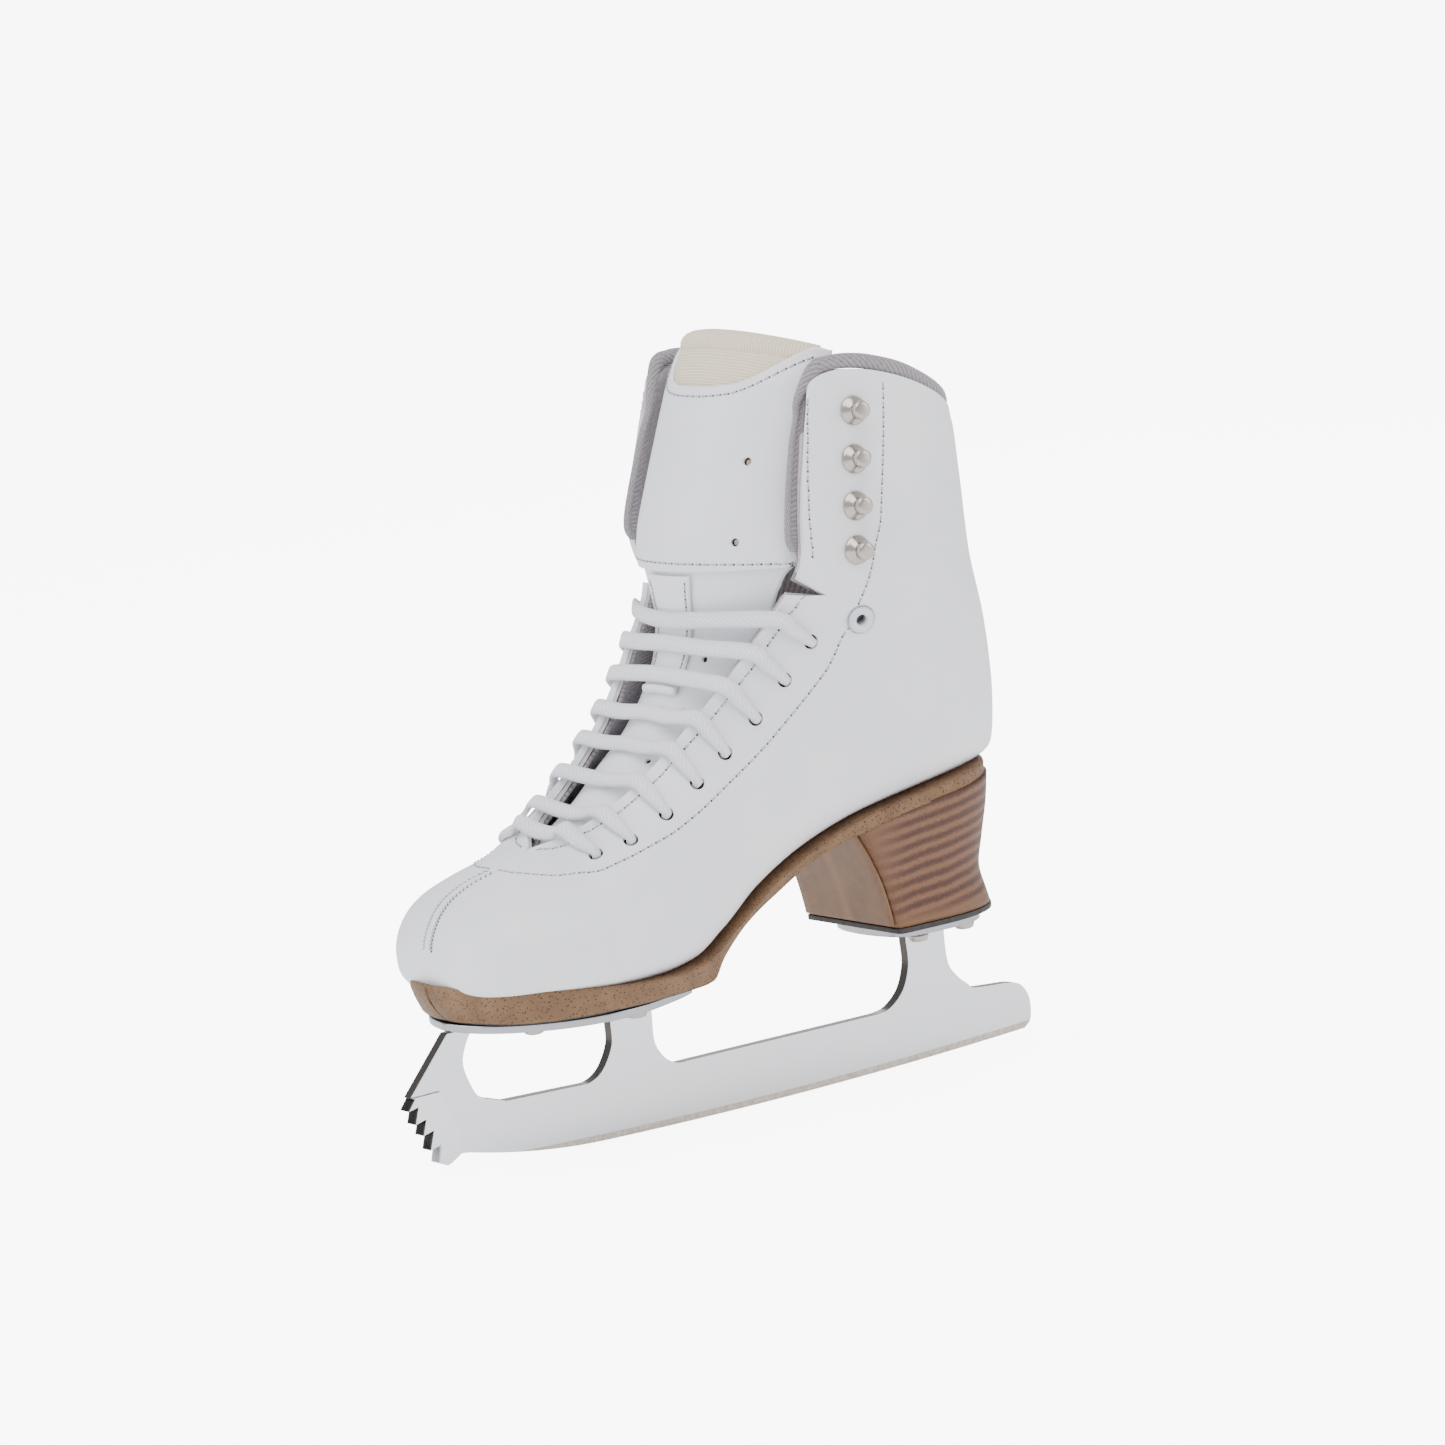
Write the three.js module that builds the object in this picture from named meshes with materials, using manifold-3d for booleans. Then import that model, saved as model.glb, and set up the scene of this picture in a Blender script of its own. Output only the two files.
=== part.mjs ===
// A single white figure skate: a laced leather boot on a stacked heel and a
// tan outsole, with a chromed steel blade screwed under it. Millimetres,
// toe towards -Y, the wearer's left at +X, +Z up, and the blade's edge on Z = 0.
import * as THREE from "three";
import { ParametricGeometry } from "three/addons/geometries/ParametricGeometry.js";
import { mergeVertices } from "three/addons/utils/BufferGeometryUtils.js";
import Module from "manifold-3d";

const wasm = await Module();
wasm.setup();

// ---------------------------------------------------------------- sizes (mm)
const gap = 0.3;                  // clearance between pieces that touch

const bladeLength = 241.3;        // toe pick to tail, a nine and a half inch blade
const bladeThickness = 4.0;
const pickThickness = 5.4;        // the toe pick is left thicker than the runner
const bladeHeight = 46.7;         // edge to the underside of the plates
const plateThickness = 2.7;

const bootLength = 217.5;         // toe to the back of the heel counter
const bootHalfWidth = 46.5;       // at the ball of the foot
const bootHeight = 186.0;         // sole plane to the front corner of the collar

const leatherThickness = 2.2;
const stiffenerThickness = 1.2;   // toe puff, heel counter and facing stays
const anklePadThickness = 5.0;    // extra foam over the ankle bone
const liningThickness = 1.2;
const liningReveal = 3.2;         // lining seen in front of the cuff's front edge
const bindingRadius = 2.1;

const tongueLeatherThickness = 1.4;
const tongueFoamThickness = 5.0;
const tongueLiningThickness = 1.2;
const keeperThickness = 1.2;

const insoleThickness = 2.6;
const shankWidth = 14.0;
const shankThickness = 1.2;
const footbedThickness = 3.0;
const liftThickness = 1.7;
const breastCoverThickness = 1.0;

const laceHoleRadius = 2.5;
const laceWidth = 7.0;
const laceThickness = 1.5;
const hookEdgeDistance = 19.5;    // cuff edge to the middle of a hook
const hookBaseRadius = 4.7;
const hookHeadRadius = 2.9;
const hookHeight = 6.2;
const eyeletRadius = 4.3;
const screwHeadRadius = 3.4;
const screwShankRadius = 1.6;

const soleZ = bladeHeight + plateThickness + gap;   // the plane the boot stands on
const middleShift = 0.7;          // puts the middle of the blade's length on Y = 0

// The boot is drawn at these nominal sizes and stretched to the sizes above.
const nominal = { length: 217.5, halfWidth: 46.5, height: 186.0, blade: 241.3, rise: 46.7 };
const stretchX = bootHalfWidth / nominal.halfWidth;
const stretchY = bootLength / nominal.length;
const stretchZ = bootHeight / nominal.height;
const bladeY = bladeLength / nominal.blade;
const bladeZ = bladeHeight / nominal.rise;

// ------------------------------------------------------------------- helpers
const V = (x, y, z) => new THREE.Vector3(x, y, z);
const lerp = (a, b, f) => a + (b - a) * f;
const smooth = (f) => f * f * (3 - 2 * f);
const range = (from, to, steps) => Array.from({ length: steps + 1 }, (_, i) => lerp(from, to, i / steps));
const clamp01 = (f) => Math.min(1, Math.max(0, f));

// Monotone cubic through (0, 1, 2, ...) -> values: smooth, with no overshoot.
function monotone(values) {
  const n = values.length;
  const step = values.slice(1).map((v, i) => v - values[i]);
  const slope = values.map((_, i) => {
    if (i === 0) return step[0];
    if (i === n - 1) return step[n - 2];
    if (step[i - 1] * step[i] <= 0) return 0;
    return (2 * step[i - 1] * step[i]) / (step[i - 1] + step[i]);
  });
  return (u) => {
    const i = Math.min(n - 2, Math.max(0, Math.floor(u)));
    const f = u - i;
    const a = values[i];
    const b = values[i + 1];
    const h = f * f * (3 - 2 * f);
    return a + (b - a) * h + slope[i] * f * (1 - f) * (1 - f) - slope[i + 1] * f * f * (1 - f);
  };
}

function tidy(geometry) {
  geometry.deleteAttribute("normal");
  geometry.deleteAttribute("uv");
  const merged = mergeVertices(geometry, 1e-3);
  const index = merged.index.array;
  const keep = [];
  for (let i = 0; i < index.length; i += 3) {
    const [a, b, c] = [index[i], index[i + 1], index[i + 2]];
    if (a !== b && b !== c && c !== a) keep.push(a, b, c);
  }
  merged.setIndex(keep);
  return merged;
}

function volume(geometry) {
  const p = geometry.attributes.position;
  const index = geometry.index.array;
  let sum = 0;
  for (let i = 0; i < index.length; i += 3) {
    const [a, b, c] = [0, 1, 2].map((k) => new THREE.Vector3().fromBufferAttribute(p, index[i + k]));
    sum += a.dot(b.cross(c)) / 6;
  }
  return sum;
}

function solid(geometry) {
  const g = tidy(geometry);
  if (volume(g) < 0) {
    const index = Array.from(g.index.array);
    for (let i = 0; i < index.length; i += 3) [index[i], index[i + 1]] = [index[i + 1], index[i]];
    g.setIndex(index);
  }
  const mesh = new wasm.Mesh({
    numProp: 3,
    vertProperties: new Float32Array(g.attributes.position.array),
    triVerts: new Uint32Array(g.index.array),
  });
  return new wasm.Manifold(mesh);
}

function geometryOf(body) {
  const mesh = body.getMesh();
  const g = new THREE.BufferGeometry();
  g.setAttribute("position", new THREE.BufferAttribute(new Float32Array(mesh.vertProperties), 3));
  g.setIndex(Array.from(mesh.triVerts));
  return g;
}

// Closed loops of points, joined in order. Each end is closed by a flat cap:
// the loop folds onto its own middle line, point k onto point (last - k), or
// shrinks to one point. From column `turned` on, each four-sided face is split
// along its other diagonal.
function loft(loops, { pointed = false, turned = Infinity } = {}) {
  const fold = (loop) => loop.map((p, k) => {
    if (pointed) return loop.reduce((s, q) => s.add(q), V(0, 0, 0)).divideScalar(loop.length);
    return p.clone().add(loop[loop.length - 1 - k]).multiplyScalar(0.5);
  });
  const rows = [fold(loops[0]), ...loops, fold(loops[loops.length - 1])];
  const columns = loops[0].length;
  const place = (u, v, target) => {
    target.copy(rows[Math.round(v * (rows.length - 1))][Math.round(u * columns) % columns]);
  };
  const g = new ParametricGeometry(place, columns, rows.length - 1);
  const index = Array.from(g.index.array);
  for (let k = 0; k < index.length; k += 6) {
    if ((k / 6) % columns < turned) continue;
    const [a, b, d, , c] = index.slice(k, k + 6);
    index.splice(k, 6, a, b, c, a, c, d);
  }
  g.setIndex(index);
  return solid(g);
}

// A sheet between two grids of points, its faces split alike on both sides.
function sheet(outer, inner) {
  const loops = outer.map((row, i) => [...row, ...inner[i].slice().reverse()]);
  return loft(loops, { turned: outer[0].length });
}

// A flat outline in Y and Z, given thickness across X.
function plateFromOutline(points, thickness, holes = []) {
  const shape = new THREE.Shape(points);
  shape.holes = holes;
  const g = new THREE.ExtrudeGeometry(shape, { depth: thickness, bevelEnabled: false, curveSegments: 5 });
  g.rotateX(Math.PI / 2);
  g.rotateZ(Math.PI / 2);
  g.translate(-thickness / 2, 0, 0);
  return solid(g);
}

// A cord of flattened section along a chain of places { p, a, b, side }: a is
// half its width and b half its thickness. The width lies along side, or
// where that is left out is carried along the cord without twisting.
function cordSolid(places, wide, sides) {
  let across = wide.clone();
  const loops = places.map(({ p, a, b, side }, i) => {
    const before = places[Math.max(0, i - 1)].p;
    const after = places[Math.min(places.length - 1, i + 1)].p;
    const along = after.clone().sub(before).normalize();
    if (side) across = side.clone().multiplyScalar(side.dot(across) < 0 ? -1 : 1);
    across = across.clone().addScaledVector(along, -across.dot(along)).normalize();
    const up = along.clone().cross(across);
    return range(0, sides - 1, sides - 1).map((k) => {
      const angle = (2 * Math.PI * (k + 0.5)) / sides;
      return p.clone().addScaledVector(across, a * Math.cos(angle)).addScaledVector(up, b * Math.sin(angle));
    });
  });
  return loft(loops, { pointed: true });
}

const group = new THREE.Group();
const skate = new THREE.Group();
skate.position.y = middleShift;
group.add(skate);
const boot = new THREE.Group();
boot.position.z = soleZ;
skate.add(boot);

const finishes = {
  whiteLeather: { color: 0xe6e7ec, roughness: 0.42, metalness: 0 },
  greyLining: { color: 0xb9b4bb, roughness: 0.95, metalness: 0 },
  foam: { color: 0xd9d6cc, roughness: 1, metalness: 0 },
  creamCloth: { color: 0xe9e2d3, roughness: 0.9, metalness: 0 },
  board: { color: 0xa98b66, roughness: 0.9, metalness: 0 },
  nickel: { color: 0xc9c5bd, roughness: 0.2, metalness: 1 },
  whiteEnamel: { color: 0xf0f0f2, roughness: 0.3, metalness: 0 },
  whiteLace: { color: 0xf1f1f4, roughness: 0.9, metalness: 0 },
  soleLeather: { color: 0x8d6a48, roughness: 0.6, metalness: 0 },
  heelStack: { color: 0x8a5f40, roughness: 0.55, metalness: 0 },
  blackRubber: { color: 0x2f2a28, roughness: 0.8, metalness: 0 },
  steel: { color: 0x8f9296, roughness: 0.4, metalness: 1 },
  chrome: { color: 0xdcdee0, roughness: 0.08, metalness: 1 },
};

function add(name, body, finish, parent = boot) {
  const mesh = new THREE.Mesh(geometryOf(body), new THREE.MeshStandardMaterial(finishes[finish]));
  mesh.name = name;
  parent.add(mesh);
  return mesh;
}

const mirror = (body) => body.mirror([1, 0, 0]);

// ------------------------------------------------- the surface of the boot
// Rings run from the toe (0) to the collar. Each starts at the facing edge
// (half opening g, height zf) or at the toe seam (g = 0), and ends under the
// sole or at the back seam (yb, zb). w is its half width, m where the widest
// place lies, nf and nb how square its two ends are, and rise lifts the collar.
const rings = [
  { g: 0, yf: -108, zf: 18.5, yb: -108, zb: 18.5, w: 0.0, m: 0.5, nf: 2, nb: 2.2, rise: 0 },
  { g: 0, yf: -107, zf: 25.5, yb: -106.5, zb: 11, w: 16, m: 0.58, nf: 2.1, nb: 2.6, rise: 0 },
  { g: 0, yf: -104, zf: 32, yb: -103.5, zb: 8.5, w: 25.5, m: 0.6, nf: 2.1, nb: 3, rise: 0 },
  { g: 0, yf: -99, zf: 37.3, yb: -98, zb: 6.8, w: 32.5, m: 0.6, nf: 2.1, nb: 3.2, rise: 0 },
  { g: 0, yf: -91, zf: 41.3, yb: -90, zb: 5.8, w: 39, m: 0.6, nf: 2.1, nb: 3.3, rise: 0 },
  { g: 0, yf: -80, zf: 44.3, yb: -78, zb: 4.8, w: 44, m: 0.6, nf: 2.1, nb: 3.3, rise: 0 },
  { g: 0, yf: -68, zf: 47.8, yb: -65, zb: 4.2, w: 46.5, m: 0.6, nf: 2, nb: 3.3, rise: 0 },
  { g: 10, yf: -60, zf: 51.8, yb: -54, zb: 3.8, w: 46.5, m: 0.6, nf: 2, nb: 3.2, rise: 0 },
  { g: 16, yf: -52, zf: 56.3, yb: -42, zb: 3.8, w: 45.5, m: 0.6, nf: 2, nb: 3, rise: 0 },
  { g: 20, yf: -41, zf: 62.8, yb: -29, zb: 4.8, w: 43.5, m: 0.58, nf: 2, nb: 2.8, rise: 0 },
  { g: 22.5, yf: -31, zf: 70.3, yb: -15, zb: 11.2, w: 41, m: 0.56, nf: 2, nb: 2.7, rise: 0 },
  { g: 25, yf: -20.5, zf: 79.3, yb: 2, zb: 22.3, w: 38.5, m: 0.54, nf: 2, nb: 2.7, rise: 0 },
  { g: 29, yf: -10.5, zf: 89.3, yb: 22, zb: 31.8, w: 38, m: 0.52, nf: 2, nb: 2.7, rise: 0 },
  { g: 33.5, yf: -1.5, zf: 99.3, yb: 48, zb: 39.8, w: 40, m: 0.5, nf: 2, nb: 2.7, rise: 0 },
  { g: 37, yf: 7, zf: 109.3, yb: 78, zb: 44.4, w: 43, m: 0.46, nf: 2, nb: 2.5, rise: 0 },
  { g: 39.8, yf: 11.8, zf: 115.5, yb: 98, zb: 46.8, w: 45, m: 0.42, nf: 2.1, nb: 2.1, rise: 0 },
  { g: 42.5, yf: 14.3, zf: 120, yb: 107.2, zb: 50.6, w: 46.5, m: 0.4, nf: 2.2, nb: 2, rise: 0 },
  { g: 45.5, yf: 15.3, zf: 124, yb: 109.5, zb: 70, w: 48.5, m: 0.38, nf: 2.2, nb: 2, rise: 0 },
  { g: 48.5, yf: 15.5, zf: 128.5, yb: 108, zb: 92, w: 50.5, m: 0.38, nf: 2.2, nb: 2, rise: 0 },
  { g: 50.3, yf: 15.7, zf: 134.5, yb: 104.5, zb: 112, w: 51.5, m: 0.38, nf: 2.2, nb: 2, rise: 1 },
  { g: 50, yf: 16.3, zf: 142, yb: 101.8, zb: 129, w: 51.5, m: 0.4, nf: 2.2, nb: 2.1, rise: 2 },
  { g: 48.8, yf: 18.3, zf: 153, yb: 100.4, zb: 143, w: 51, m: 0.4, nf: 2.2, nb: 2.2, rise: 4 },
  { g: 47.2, yf: 22, zf: 168.5, yb: 99.9, zb: 155.5, w: 50, m: 0.4, nf: 2.2, nb: 2.2, rise: 7 },
  { g: 46, yf: 25.3, zf: 186, yb: 98.5, zb: 166.5, w: 49.5, m: 0.4, nf: 2.2, nb: 2.2, rise: 11 },
];
const ring = Object.fromEntries(Object.keys(rings[0]).map((k) => [k, monotone(rings.map((r) => r[k]))]));
const collar = rings.length - 1;
const notchRing = 17;            // the flex notch between facings and cuff
const widest = 0.45;             // share of the ring's columns above its widest place

// The outside of the leather on the wearer's left, u along the boot and t
// from the facing edge (0) round to the sole's or back's centre line (1).
function leather(u, t) {
  const w = ring.w(u) * stretchX;
  const front = V(0, ring.yf(u) * stretchY, ring.zf(u) * stretchZ);
  const back = V(0, ring.yb(u) * stretchY, ring.zb(u) * stretchZ);
  const along = back.clone().sub(front);
  const length = along.length();
  const m = ring.m(u) * length;
  let x = 0;
  let q = 0;
  if (t < widest) {
    const n = 2 / ring.nf(u);
    const start = w > 0 ? Math.asin(Math.pow(Math.min(1, (ring.g(u) * stretchX) / w), 1 / n)) : 0;
    const a = lerp(start, Math.PI / 2, t / widest);
    x = w * Math.pow(Math.sin(a), n);
    q = m * (1 - Math.pow(Math.cos(a) / Math.cos(start), n));
  } else {
    const n = 2 / ring.nb(u);
    const a = ((t - widest) / (1 - widest)) * Math.PI / 2;
    x = w * Math.pow(Math.cos(a), n);
    q = m + (length - m) * Math.pow(Math.sin(a), n);
  }
  const f = length > 0 ? q / length : 0;
  const p = front.clone().addScaledVector(along, f);
  const lift = ring.rise(u) * 2.6 * Math.sqrt(clamp01(f)) * (1 - clamp01(f));
  return V(x, p.y, p.z + lift * stretchZ);
}

function leatherNormal(u, t) {
  if (u < 1e-6) return V(0, -1, 0);
  const e = 1e-3;
  const s = ring.g(u) > 0.5 ? Math.max(t, 0.06) : t;
  const along = leather(Math.min(collar, u + e), s).sub(leather(Math.max(0, u - e), s));
  const round = leather(u, Math.min(1, s + e)).sub(leather(u, Math.max(0, s - e)));
  const n = round.cross(along);
  if (t > 1 - 1e-6 || (t < 1e-6 && ring.g(u) < 0.5)) n.x = 0;
  return n.normalize();
}

// How far the ankle foam pushes the lining in.
function ankleBulge(u, t) {
  const along = clamp01(1 - Math.abs(u - 17) / 3.6);
  const round = clamp01(1 - Math.abs(t - 0.56) / 0.3);
  return anklePadThickness * smooth(along) * smooth(round);
}

const seamGap = gap / 2;          // each quarter stops this far from the middle plane
function layer(u, t, depth, limit) {
  const p = leather(u, t).addScaledVector(leatherNormal(u, t), -depth);
  p.x = Math.max(p.x, limit);
  return p;
}

// Every layer uses the same grid lines, so that flat faces lie face to face.
const ringStops = [0, 0.6, 1.3, 2, 3, 4, 5, 6, 6.5, 7, 8, 9, 10, 11, 12, 13, 13.5, 14,
  14.5, 15, 15.5, 16, 16.5, 17, 17.5, 18, 19, 20, 21, 22, 23];
const columnStops = [0, 0.15, 0.3, 0.38, 0.5, 0.64, 0.73, 0.82, 0.91, 1];

// A patch of one layer, between two ring stops and two column stops. It stops
// short of the middle plane by limit, and reveal lengthens its front edge.
function patch(uFrom, uTo, tFrom, tTo, depthOut, depthIn, { limit = seamGap, reveal } = {}) {
  const within = (stops, from, to) => stops.filter((s) => s >= from && s <= to);
  const grid = (depthAt) => within(ringStops, uFrom, uTo).map((u) => {
    const row = within(columnStops, tFrom, tTo).map((t) => layer(u, t, depthAt(u, t), limit));
    if (reveal) {
      const forward = row[0].clone().sub(row[1]).normalize();
      row.unshift(row[0].clone().addScaledVector(forward, reveal(u)));
    }
    return row;
  });
  return sheet(grid(depthOut), grid(depthIn));
}

const always = (value) => () => value;
const stiffenerDepth = leatherThickness + gap;
const liningDepth = stiffenerDepth + stiffenerThickness + gap;
const cavityDepth = liningDepth + liningThickness + gap;
const liningOut = (u, t) => liningDepth + ankleBulge(u, t);
const liningIn = (u, t) => liningDepth + liningThickness + ankleBulge(u, t);

// ------------------------------------------------------------- lacing places
// Rows of lace holes from the toe up: the place along the boot's rings, and
// the distance behind the facing's edge.
const laceRows = [[7.1, 16.5], [8.25, 16], [9.4, 15], [10.5, 14.5], [11.4, 14.5], [12.35, 14.8], [13.3, 15], [14.4, 14.8]]
  .map(([u, distance]) => ({ u, distance }));
const hookRings = [18.95, 20.25, 21.25, 22.1];
const eyeletRing = 16.5;
const eyeletDistance = 26;

// The column that lies a given distance behind the facing edge.
function columnAt(u, distance) {
  let t = 0;
  let walked = 0;
  let last = leather(u, 0);
  while (walked < distance && t < 0.9) {
    t += 0.004;
    const next = leather(u, t);
    walked += next.distanceTo(last);
    last = next;
  }
  return t;
}

// The flat face under a place on the leather, between grid lines.
function faceAt(u, t) {
  const cell = (stops, s) => {
    let i = 0;
    while (i < stops.length - 2 && s > stops[i + 1]) i += 1;
    return [stops[i], stops[i + 1], (s - stops[i]) / (stops[i + 1] - stops[i])];
  };
  const [u0, u1, fu] = cell(ringStops, u);
  const [t0, t1, ft] = cell(columnStops, t);
  return leather(u0, t0).lerp(leather(u0, t1), ft).lerp(leather(u1, t0).lerp(leather(u1, t1), ft), fu);
}

function placeOn(u, distance) {
  const t = columnAt(u, distance);
  return { point: faceAt(u, t), normal: leatherNormal(u, t) };
}

// A turned piece standing on the leather, from its profile of radius and height.
function turned(profile, place, lift, sides = 12) {
  const g = new THREE.LatheGeometry(profile.map(([r, h]) => new THREE.Vector2(r, h)), sides);
  g.applyQuaternion(new THREE.Quaternion().setFromUnitVectors(V(0, 1, 0), place.normal));
  g.translate(...place.point.clone().addScaledVector(place.normal, lift).toArray());
  return solid(g);
}

const laceHoles = laceRows.map((row) => placeOn(row.u, row.distance));
const holeReach = cavityDepth + 3;
const punch = (place, radius) => turned(
  [[0, -holeReach], [radius, -holeReach], [radius, 2], [0, 2]], place, 0, 6);
const laceHoleCutter = laceHoles.map((place) => punch(place, laceHoleRadius))
  .reduce((all, one) => all.add(one));
const eyeletPlace = placeOn(eyeletRing, eyeletDistance);
const eyeletCutter = punch(eyeletPlace, eyeletRadius * 0.72);

// The flex notch: a wedge through both sides between the facings and the cuff.
const notchOutline = [[25, 116.8], [5, 137.5], [-10, 137.5], [-10, 121], [14, 119.2]];
const notchCutter = plateFromOutline(
  notchOutline.map(([y, z]) => new THREE.Vector2(y * stretchY, z * stretchZ)), 4 * bootHalfWidth);
const openings = laceHoleCutter.add(eyeletCutter).add(notchCutter);

// ------------------------------------------------------------ boot: the upper
const quarter = patch(0, collar, 0, 1, always(0), always(leatherThickness)).subtract(openings);
add("quarter_left", quarter, "whiteLeather");
add("quarter_right", mirror(quarter), "whiteLeather");

const cuffReveal = (u) => liningReveal * smooth(clamp01((u - notchRing - 1) / 0.9));
const lining = patch(0, collar, 0, 1, liningOut, liningIn, { reveal: cuffReveal }).subtract(openings);
add("lining_left", lining, "greyLining");
add("lining_right", mirror(lining), "greyLining");

const stiffOut = always(stiffenerDepth);
const stiffIn = always(stiffenerDepth + stiffenerThickness);
const stay = patch(7, collar - 1, 0, 0.3, stiffOut, stiffIn).subtract(openings);
add("facing_stay_left", stay, "board");
add("facing_stay_right", mirror(stay), "board");

// The toe puff and the heel counter are each one moulded shell over both sides.
function bothSides(uFrom, uTo, tFrom, tTo) {
  const half = patch(uFrom, uTo, tFrom, tTo, stiffOut, stiffIn, { limit: 0 });
  return half.add(mirror(half));
}
add("toe_puff", bothSides(0, 5, 0, 0.73), "board");
add("heel_counter", bothSides(13, 20, 0.73, 1), "board");

// Foam over the ankle, between the stay, the counter and the lining.
const padIn = (u, t) => stiffenerDepth + stiffenerThickness + ankleBulge(u, t);
const pad = patch(13, 21, 0.38, 0.64, stiffOut, padIn);
add("ankle_pad_left", pad, "foam");
add("ankle_pad_right", mirror(pad), "foam");

// The textile binding rolled over the collar's rim, from one front corner
// round the back to the other.
const rimLift = bindingRadius + 3 * gap;
const rimPoint = (t) => {
  const rim = layer(collar, t, leatherThickness, 0);
  const below = layer(collar - 0.5, t, leatherThickness, 0);
  return rim.addScaledVector(rim.clone().sub(below).normalize(), rimLift);
};
const rimStops = [0.04, 0.08, 0.15, 0.22, 0.3, 0.38, 0.5, 0.64, 0.73, 0.82, 0.91, 1];
const rimHalf = rimStops.map(rimPoint);
const rimLine = [...rimHalf.map((p) => V(-p.x, p.y, p.z)), ...rimHalf.slice(0, -1).reverse()];
add("collar_binding", cordSolid(rimLine.map((p) => ({ p, a: bindingRadius * 1.35, b: bindingRadius })),
  V(-0.3, 0, 1), 8), "greyLining");

// ------------------------------------------------------ boot: hooks, eyelets
const r = hookBaseRadius;
const hookProfile = [[0, 0], [r, 0], [r, 0.7], [r * 0.72, 1.3], [r * 0.42, 2.8],
  [hookHeadRadius, 3.3], [hookHeadRadius, hookHeight - 0.5], [hookHeadRadius - 0.5, hookHeight], [0, hookHeight]];
hookRings.forEach((u, i) => {
  const hook = turned(hookProfile, placeOn(u, hookEdgeDistance), gap, 8);
  add(`hook_left_${i + 1}`, hook, "nickel");
  add(`hook_right_${i + 1}`, mirror(hook), "nickel");
});

const e = eyeletRadius;
const eyeletProfile = [[e * 0.36, -leatherThickness - 0.6], [e * 0.54, -leatherThickness - 0.6], [e * 0.54, gap],
  [e, gap], [e * 0.97, gap + 0.8], [e * 0.6, gap + 1.2], [e * 0.36, gap + 0.7], [e * 0.36, -leatherThickness - 0.6]];
const eyelet = turned(eyeletProfile, eyeletPlace, 0, 12);
add("eyelet_left", eyelet, "whiteEnamel");
add("eyelet_right", mirror(eyelet), "whiteEnamel");

// ------------------------------------------------------------ boot: the tongue
// The tongue's middle line from under the vamp up the shin, with its half
// width and the radius that it wraps round the shin with.
const tongueRows = [
  { y: -66, z: 42, half: 13, round: 30 },
  { y: -60, z: 46, half: 18, round: 32 },
  { y: -52, z: 52.5, half: 21, round: 32 },
  { y: -41, z: 60, half: 23, round: 33 },
  { y: -30.5, z: 69, half: 25, round: 34 },
  { y: -19.5, z: 78.5, half: 26, round: 34 },
  { y: -10.5, z: 89.5, half: 28, round: 35 },
  { y: -4.5, z: 101, half: 30, round: 37 },
  { y: -2.5, z: 111.5, half: 32, round: 39.5 },
  { y: -3, z: 119.5, half: 35, round: 42 },
  { y: -3.5, z: 127, half: 39, round: 45 },
  { y: -2, z: 138, half: 40, round: 45 },
  { y: 3, z: 153, half: 40, round: 45 },
  { y: 9.5, z: 170, half: 39.2, round: 45 },
  { y: 16.5, z: 187, half: 38.8, round: 45 },
  { y: 21, z: 197.5, half: 38.4, round: 45 },
];
const shin = Object.fromEntries(["y", "z", "half", "round"].map((k) => [k, monotone(tongueRows.map((q) => q[k]))]));
const foldRow = 10;               // the panel's lower edge, where the tongue folds
const leatherTopRow = 14;         // the middle of the panel's scooped upper edge

function shinPoint(v) {
  return V(0, shin.y(v) * stretchY, shin.z(v) * stretchZ);
}

function shinNormal(v) {
  const along = shinPoint(Math.min(15, v + 0.01)).sub(shinPoint(Math.max(0, v - 0.01)));
  return V(0, -along.z, along.y).normalize();
}

// A point of the tongue: v along it, s from -1 to 1 across it, depth inwards.
function tongue(v, s, depth) {
  const radius = shin.round(v) * stretchX;
  const angle = s * Math.asin(Math.min(0.98, shin.half(v) / shin.round(v)));
  const out = shinNormal(v);
  const p = shinPoint(v).addScaledVector(out, (radius - depth) * Math.cos(angle) - radius);
  p.x = (radius - depth) * Math.sin(angle);
  return p;
}

const acrossStops = [-1, -0.75, -0.5, -0.25, 0, 0.25, 0.5, 0.75, 1];
const tongueStops = range(0, 15, 15);

// A layer of the tongue, on grid lines that all its layers share. scoop
// raises the two ends of its upper edge.
function tongueSheet(vFrom, vTo, depthOut, depthIn, { columns = acrossStops, scoop = 0 } = {}) {
  const stops = [vFrom, ...tongueStops.filter((v) => v > vFrom && v < vTo), vTo];
  const grid = (depth) => stops.map((v, i) => columns.map((s) => {
    const raised = i === stops.length - 1 ? v + scoop * s * s : v;
    return tongue(raised, s, depth);
  }));
  return sheet(grid(depthOut), grid(depthIn));
}
const foamDepth = tongueLeatherThickness + gap;
const backDepth = foamDepth + tongueFoamThickness + gap;
const tuck = 0.45;                // how far the lower tongue runs up behind the panel
const lowerTop = foldRow + tuck;
const upperFrom = lowerTop + 0.05;
const foamTop = leatherTopRow + 0.75;
const panelGap = 1.5 * gap;       // the panel's flat faces and the foam's do not line up at its upper edge
const panelDepth = -panelGap - tongueLeatherThickness;
add("tongue_lower_leather", tongueSheet(0, lowerTop, 0, tongueLeatherThickness), "whiteLeather");
add("tongue_lower_foam", tongueSheet(1, lowerTop, foamDepth, backDepth - gap), "foam");
add("tongue_lower_lining", tongueSheet(1, lowerTop, backDepth, backDepth + tongueLiningThickness), "creamCloth");
add("tongue_panel", tongueSheet(foldRow, leatherTopRow, panelDepth, -panelGap, { scoop: 0.5 }), "whiteLeather");
add("tongue_upper_foam", tongueSheet(upperFrom, foamTop, 0, backDepth - gap), "foam");
add("tongue_upper_lining", tongueSheet(upperFrom, foamTop, backDepth, backDepth + tongueLiningThickness), "creamCloth");

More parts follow.
